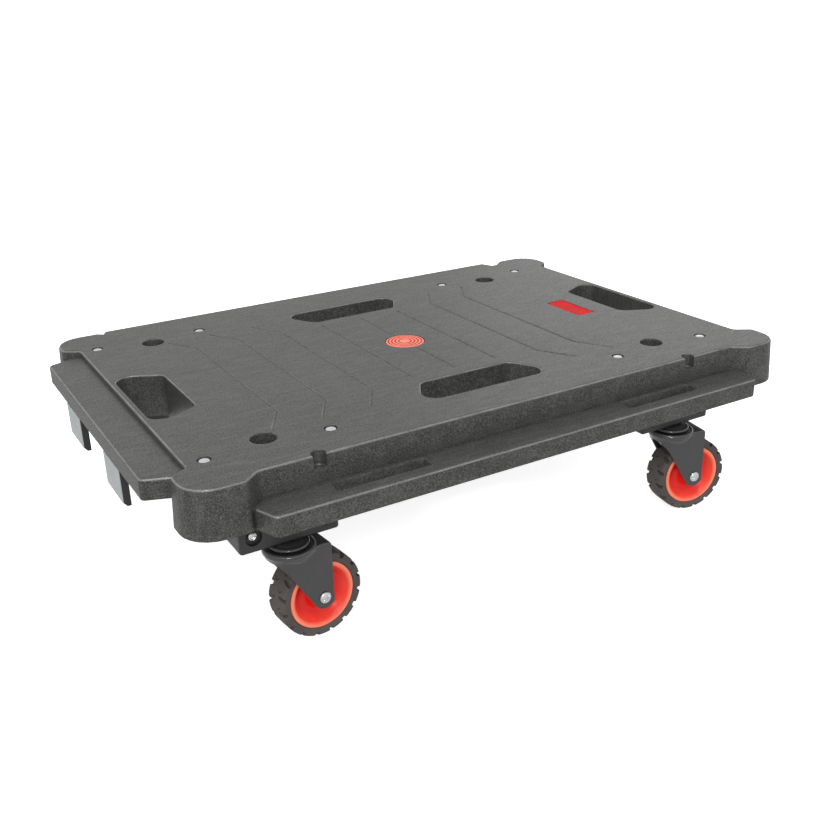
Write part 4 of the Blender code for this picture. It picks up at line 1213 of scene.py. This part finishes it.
def axle_mesh():
    """A domed bolt head with a slot, and its shank through to the nut."""
    face = FORK_OUTER + 0.25 * MM
    tip = -face - 5.0 * MM
    profile = [(0.0, tip), (AXLE_RADIUS - 0.4 * MM, tip)]
    profile += [(AXLE_RADIUS, -face - 4.6 * MM), (AXLE_RADIUS, face)]
    profile += [(5.3 * MM, face), (5.5 * MM, face + 0.4 * MM)]
    for i in range(1, 8):
        angle = math.radians(90.0 * i / 7)
        reach = 5.5 * MM * math.cos(angle) if i < 7 else 0.0
        profile.append((reach, face + 0.4 * MM + 2.4 * MM * math.sin(angle)))
    head = bmesh.new()
    add_lathe(head, profile, 56)
    slot = bmesh.new()
    add_box(slot, (-3.4 * MM, -0.55 * MM, face + 1.7 * MM), (3.4 * MM, 0.55 * MM, face + 5.0 * MM))
    aslant = Matrix.Rotation(math.radians(38.0), 3, "Z")
    bmesh.ops.rotate(slot, verts=slot.verts, cent=(0, 0, 0), matrix=aslant)
    mesh = combine(head, [(slot, "DIFFERENCE")])
    mesh.transform(AXLE_TURN)
    return mesh


def nut_mesh():
    """A lock nut: a hexagon with chamfered corners, and a round collar."""
    face = FORK_OUTER + 0.25 * MM
    body = bmesh.new()
    add_rod(body, (0, 0, -face - 4.4 * MM), (0, 0, -face), 7.2 * MM, sides=6)
    trim = bmesh.new()
    low = -face - 4.4 * MM
    profile = [(0.0, low), (5.9 * MM, low), (7.2 * MM, -face - 3.6 * MM), (7.2 * MM, -face - 0.6 * MM)]
    profile += [(6.2 * MM, -face), (0.0, -face)]
    add_lathe(trim, profile, 48)
    hole = bmesh.new()
    add_rod(hole, (0, 0, -face - 8.0 * MM), (0, 0, -face + 2.0 * MM), AXLE_RADIUS + 0.1 * MM, sides=32)
    mesh = combine(body, [(trim, "INTERSECT"), (hole, "DIFFERENCE")])
    mesh.transform(AXLE_TURN)
    return mesh


def core_mesh():
    """The wheel's core: hub, dished web and a rounded rim."""
    half = [
        (AXLE_RADIUS + 0.2 * MM, 13.7 * MM),
        mm(4.4, 14.0),
        mm(8.4, 13.9),
        mm(9.6, 13.3),
        mm(10.8, 11.0),
        mm(12.0, 7.6),
        mm(13.4, 5.0),
        mm(15.2, 3.9),
        mm(18.0, 3.6),
        mm(20.6, 4.3),
        mm(22.8, 6.2),
        mm(25.0, 9.0),
        mm(26.8, 11.4),
        mm(27.8, 12.4),
        mm(28.8, 12.8),
        mm(30.6, 12.8),
        mm(31.3, 12.5),
        (RIM_RADIUS - 0.1 * MM, 11.6 * MM),
    ]
    profile = half + [(r, -h) for r, h in reversed(half)] + [half[0]]
    shape = bmesh.new()
    add_lathe(shape, profile, 96)
    return to_mesh(shape, "core", AXLE_TURN)


def tyre_section():
    """Closed section of the bare tyre: (radius, across)."""
    half = [
        (RIM_RADIUS + 0.05 * MM, 11.8 * MM),
        (RIM_RADIUS + 0.5 * MM, 12.7 * MM),
        mm(33.0, 13.15),
        mm(37.6, 13.2),
        mm(38.7, 12.9),
        mm(39.4, 12.2),
        mm(39.75, 11.2),
        mm(39.9, 8.4),
        mm(39.97, 4.5),
    ]
    return half + [(WHEEL_RADIUS, 0.0)] + [(r, -h) for r, h in reversed(half)] + [half[0]]


def notch_ring(low, high, narrow, wide):
    return [(low, -narrow), (high, -wide), (high, wide), (low, narrow)]


def merge_turned(shape, box, turn):
    """Adds a cutter of the tread to the others, turned to its place about the axle."""
    bmesh.ops.rotate(box, verts=box.verts, cent=(0, 0, 0), matrix=Matrix.Rotation(turn, 3, "Z"))
    bmesh.ops.recalc_face_normals(box, faces=box.faces)
    merge_into(shape, box)


def tyre_mesh():
    """The tyre with lugs cut into both shoulders and curved sipes between them."""
    shape = bmesh.new()
    add_lathe(shape, tyre_section(), 96)
    notches = bmesh.new()
    for side in (-1, 1):
        for i in range(LUGS):
            box = bmesh.new()
            inner = 5.2 * MM
            outer = 15.0 * MM
            low = 36.2 * MM
            high = 43.0 * MM
            ring_in = notch_ring(low + 1.2 * MM, high, 0.9 * MM, 1.6 * MM)
            ring_out = notch_ring(low - 0.6 * MM, high, 2.3 * MM, 3.3 * MM)
            skew = 2.4 * MM
            rings = [
                [(r, t - skew, side * inner) for r, t in ring_in],
                [(r, t, side * outer) for r, t in ring_out],
            ]
            add_rings(box, rings)
            turn = 2 * math.pi * (i + (0.5 if side > 0 else 0.0)) / LUGS
            merge_turned(notches, box, turn)
    sipes = bmesh.new()
    for side in (-1, 1):
        for i in range(LUGS):
            box = bmesh.new()
            rings = []
            for k in range(7):
                share = k / 6
                across = side * (1.2 + 6.8 * share) * MM
                along = (2.6 * math.sin(math.pi * share) - 1.0) * MM
                wide = 0.45 * MM
                near, far = along - wide, along + wide
                section = ((38.4, near), (42.0, near), (42.0, far), (38.4, far))
                rings.append([(r * MM, t, across) for r, t in section])
            add_rings(box, rings)
            turn = 2 * math.pi * (i + 0.5 + (0.5 if side > 0 else 0.0)) / LUGS
            merge_turned(sipes, box, turn)
    mesh = combine(shape, [(notches, "DIFFERENCE"), (sipes, "DIFFERENCE")])
    mesh.transform(AXLE_TURN)
    return mesh


def make_casters(looks):
    meshes = {
        "race": race_mesh(),
        "balls": balls_mesh(),
        "pin": pin_mesh(),
        "fork": fork_mesh(),
        "axle": axle_mesh(),
        "nut": nut_mesh(),
        "core": core_mesh(),
        "tyre": tyre_mesh(),
    }
    table = (
        ("race", "race_cup_", "race_", "deck", "race_steel", looks["paint"], 40.0),
        ("pin", "pin_", "king_pin_", "deck", "pin_steel", looks["zinc"], 32.0),
        ("balls", "balls_", "ball_ring_", "swivel_", "ball_steel", looks["zinc"], 60.0),
        ("fork", "fork_pressing_", "fork_", "swivel_", "fork_steel", looks["paint"], 34.0),
        ("axle", "axle_", "axle_bolt_", "swivel_", "axle_zinc", looks["zinc"], 32.0),
        ("nut", "nut_", "axle_nut_", "swivel_", "nut_zinc", looks["zinc"], 25.0),
        ("core", "core_", "wheel_core_", "wheel_", "core_plastic", looks["coral"], 40.0),
        ("tyre", "tread_", "tyre_", "wheel_", "tyre_rubber", looks["rubber"], 38.0),
    )
    for word, sign_x, sign_y, angle in CASTERS:
        where = caster_place(sign_x, sign_y, angle)
        make_block(word, sign_x, sign_y, looks["block"])
        make_fasteners(word, sign_x, sign_y, looks["zinc"])
        for key, prefix, node, body, slot, look, sharp in table:
            ride = body if body == "deck" else body + word
            weigh = key in ("fork", "tyre", "nut")
            piece(prefix + word, meshes[key].copy(), look, ride, (node + word,), where, sharp, weigh)
    for mesh in meshes.values():
        bpy.data.meshes.remove(mesh)


# Stage


def make_floor():
    """A pale floor that sweeps up into a wall far behind the object, on every side."""
    flat = 5.0
    sweep = 3.0
    profile = [(0.0, 0.0), (flat, 0.0)]
    profile += [(flat + r, sweep + h) for r, h in arc((0.0, 0.0), sweep, -80.0, 0.0, 12)]
    profile += [(flat + sweep, 9.0)]
    shape = bmesh.new()
    add_lathe(shape, profile, 64)
    floor = add_object("floor", to_mesh(shape, "floor"))
    floor.data.shade_smooth()
    look = bpy.data.materials.new("pale_floor")
    look.use_nodes = True
    shader = look.node_tree.nodes["Principled BSDF"]
    shader.inputs["Base Color"].default_value = (0.88, 0.88, 0.88, 1.0)
    shader.inputs["Roughness"].default_value = 0.95
    shader.inputs["Specular IOR Level"].default_value = 0.0
    shader.inputs["Emission Color"].default_value = (1.0, 1.0, 1.0, 1.0)
    shader.inputs["Emission Strength"].default_value = FLOOR_GLOW
    floor.data.materials.append(look)
    floor.visible_diffuse = False
    floor.visible_glossy = False
    floor.visible_shadow = False


def make_world():
    world = bpy.data.worlds.new("studio")
    bpy.context.scene.world = world
    world.use_nodes = True
    tree = world.node_tree
    background = tree.nodes["Background"]
    background.inputs["Color"].default_value = (1.0, 1.0, 1.0, 1.0)
    around = tree.nodes.new("ShaderNodeTexCoord")
    split = tree.nodes.new("ShaderNodeSeparateXYZ")
    tree.links.new(around.outputs["Generated"], split.inputs[0])
    ramp = tree.nodes.new("ShaderNodeMapRange")
    ramp.interpolation_type = "SMOOTHSTEP"
    ramp.inputs["From Min"].default_value = -0.25
    ramp.inputs["From Max"].default_value = 0.12
    ramp.inputs["To Min"].default_value = WORLD_BELOW
    ramp.inputs["To Max"].default_value = WORLD_ABOVE
    tree.links.new(split.outputs["Z"], ramp.inputs["Value"])
    tree.links.new(ramp.outputs["Result"], background.inputs["Strength"])


def area_light(name, at, target, size, power):
    light = bpy.data.lights.new(name, "AREA")
    light.shape = "RECTANGLE"
    light.size = size[0]
    light.size_y = size[1]
    light.energy = power
    made = bpy.data.objects.new(name, light)
    bpy.context.scene.collection.objects.link(made)
    made.location = at
    made.rotation_euler = (Vector(at) - Vector(target)).to_track_quat("Z", "Y").to_euler()


def make_lights():
    area_light("high_front", (-0.75, -1.0, 2.3), (0.0, 0.0, 0.15), (0.7, 0.7), 30.0)
    area_light("low_front", (-1.1, -1.9, 1.35), (0.0, 0.0, 0.1), (0.3, 0.3), 12.0)
    area_light("behind", (2.2, 1.8, 1.1), (0.0, 0.0, 0.15), (1.6, 0.8), 3.0)


def make_camera():
    azimuth = math.radians(CAMERA_AZIMUTH)
    elevation = math.radians(CAMERA_ELEVATION)
    roll = math.radians(CAMERA_ROLL)
    level = math.cos(elevation)
    back = Vector((math.sin(azimuth) * level, -math.cos(azimuth) * level, math.sin(elevation)))
    right = (-back).cross(Vector((0.0, 0.0, 1.0))).normalized()
    up = right.cross(-back)
    axis_x = math.cos(roll) * right + math.sin(roll) * up
    axis_y = -math.sin(roll) * right + math.cos(roll) * up
    data = bpy.data.cameras.new("camera")
    data.sensor_width = 36.0
    data.lens = CAMERA_LENS
    data.clip_end = 50.0
    camera = bpy.data.objects.new("camera", data)
    bpy.context.scene.collection.objects.link(camera)
    camera.matrix_world = Matrix.Translation(CAMERA_AT) @ Matrix((axis_x, axis_y, back)).transposed().to_4x4()
    bpy.context.scene.camera = camera


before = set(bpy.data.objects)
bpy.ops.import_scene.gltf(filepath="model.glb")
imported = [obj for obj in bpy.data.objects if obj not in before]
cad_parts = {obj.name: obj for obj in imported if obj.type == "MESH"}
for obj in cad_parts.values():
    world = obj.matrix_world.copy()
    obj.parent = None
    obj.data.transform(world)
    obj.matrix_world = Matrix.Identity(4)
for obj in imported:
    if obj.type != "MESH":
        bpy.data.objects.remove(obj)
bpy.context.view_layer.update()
make_camera()
make_world()
make_lights()
make_floor()
LOOKS = {
    "deck": deck_look(),
    "hook": black_look("hook_black", (0.016, 0.016, 0.017), 0.42),
    "grey": painted_reflection_face_look(),
    "block": black_look("block_black", (0.022, 0.022, 0.023), 0.40),
    "paint": painted_steel_look(),
    "zinc": bright_steel_look("zinc_plate", (0.78, 0.79, 0.80), 0.22),
    "coral": wheel_look(),
    "disc": coral_look("coral_disc", (0.84, 0.27, 0.20), (0.74, 0.21, 0.155), 0.45, 1.3),
    "ring": coral_look("ring_red", (0.52, 0.035, 0.025), (0.44, 0.03, 0.02), 0.5, 1.2),
    "label": coral_look("label_red", (0.56, 0.008, 0.010), (0.48, 0.006, 0.008), 0.5, 1.14),
    "rubber": rubber_look(),
}
make_deck(LOOKS["deck"])
make_disc(LOOKS["disc"], LOOKS["ring"])
make_label(LOOKS["label"])
make_hooks(LOOKS["hook"], LOOKS["grey"])
make_casters(LOOKS)
bpy.context.scene.view_settings.view_transform = "Standard"
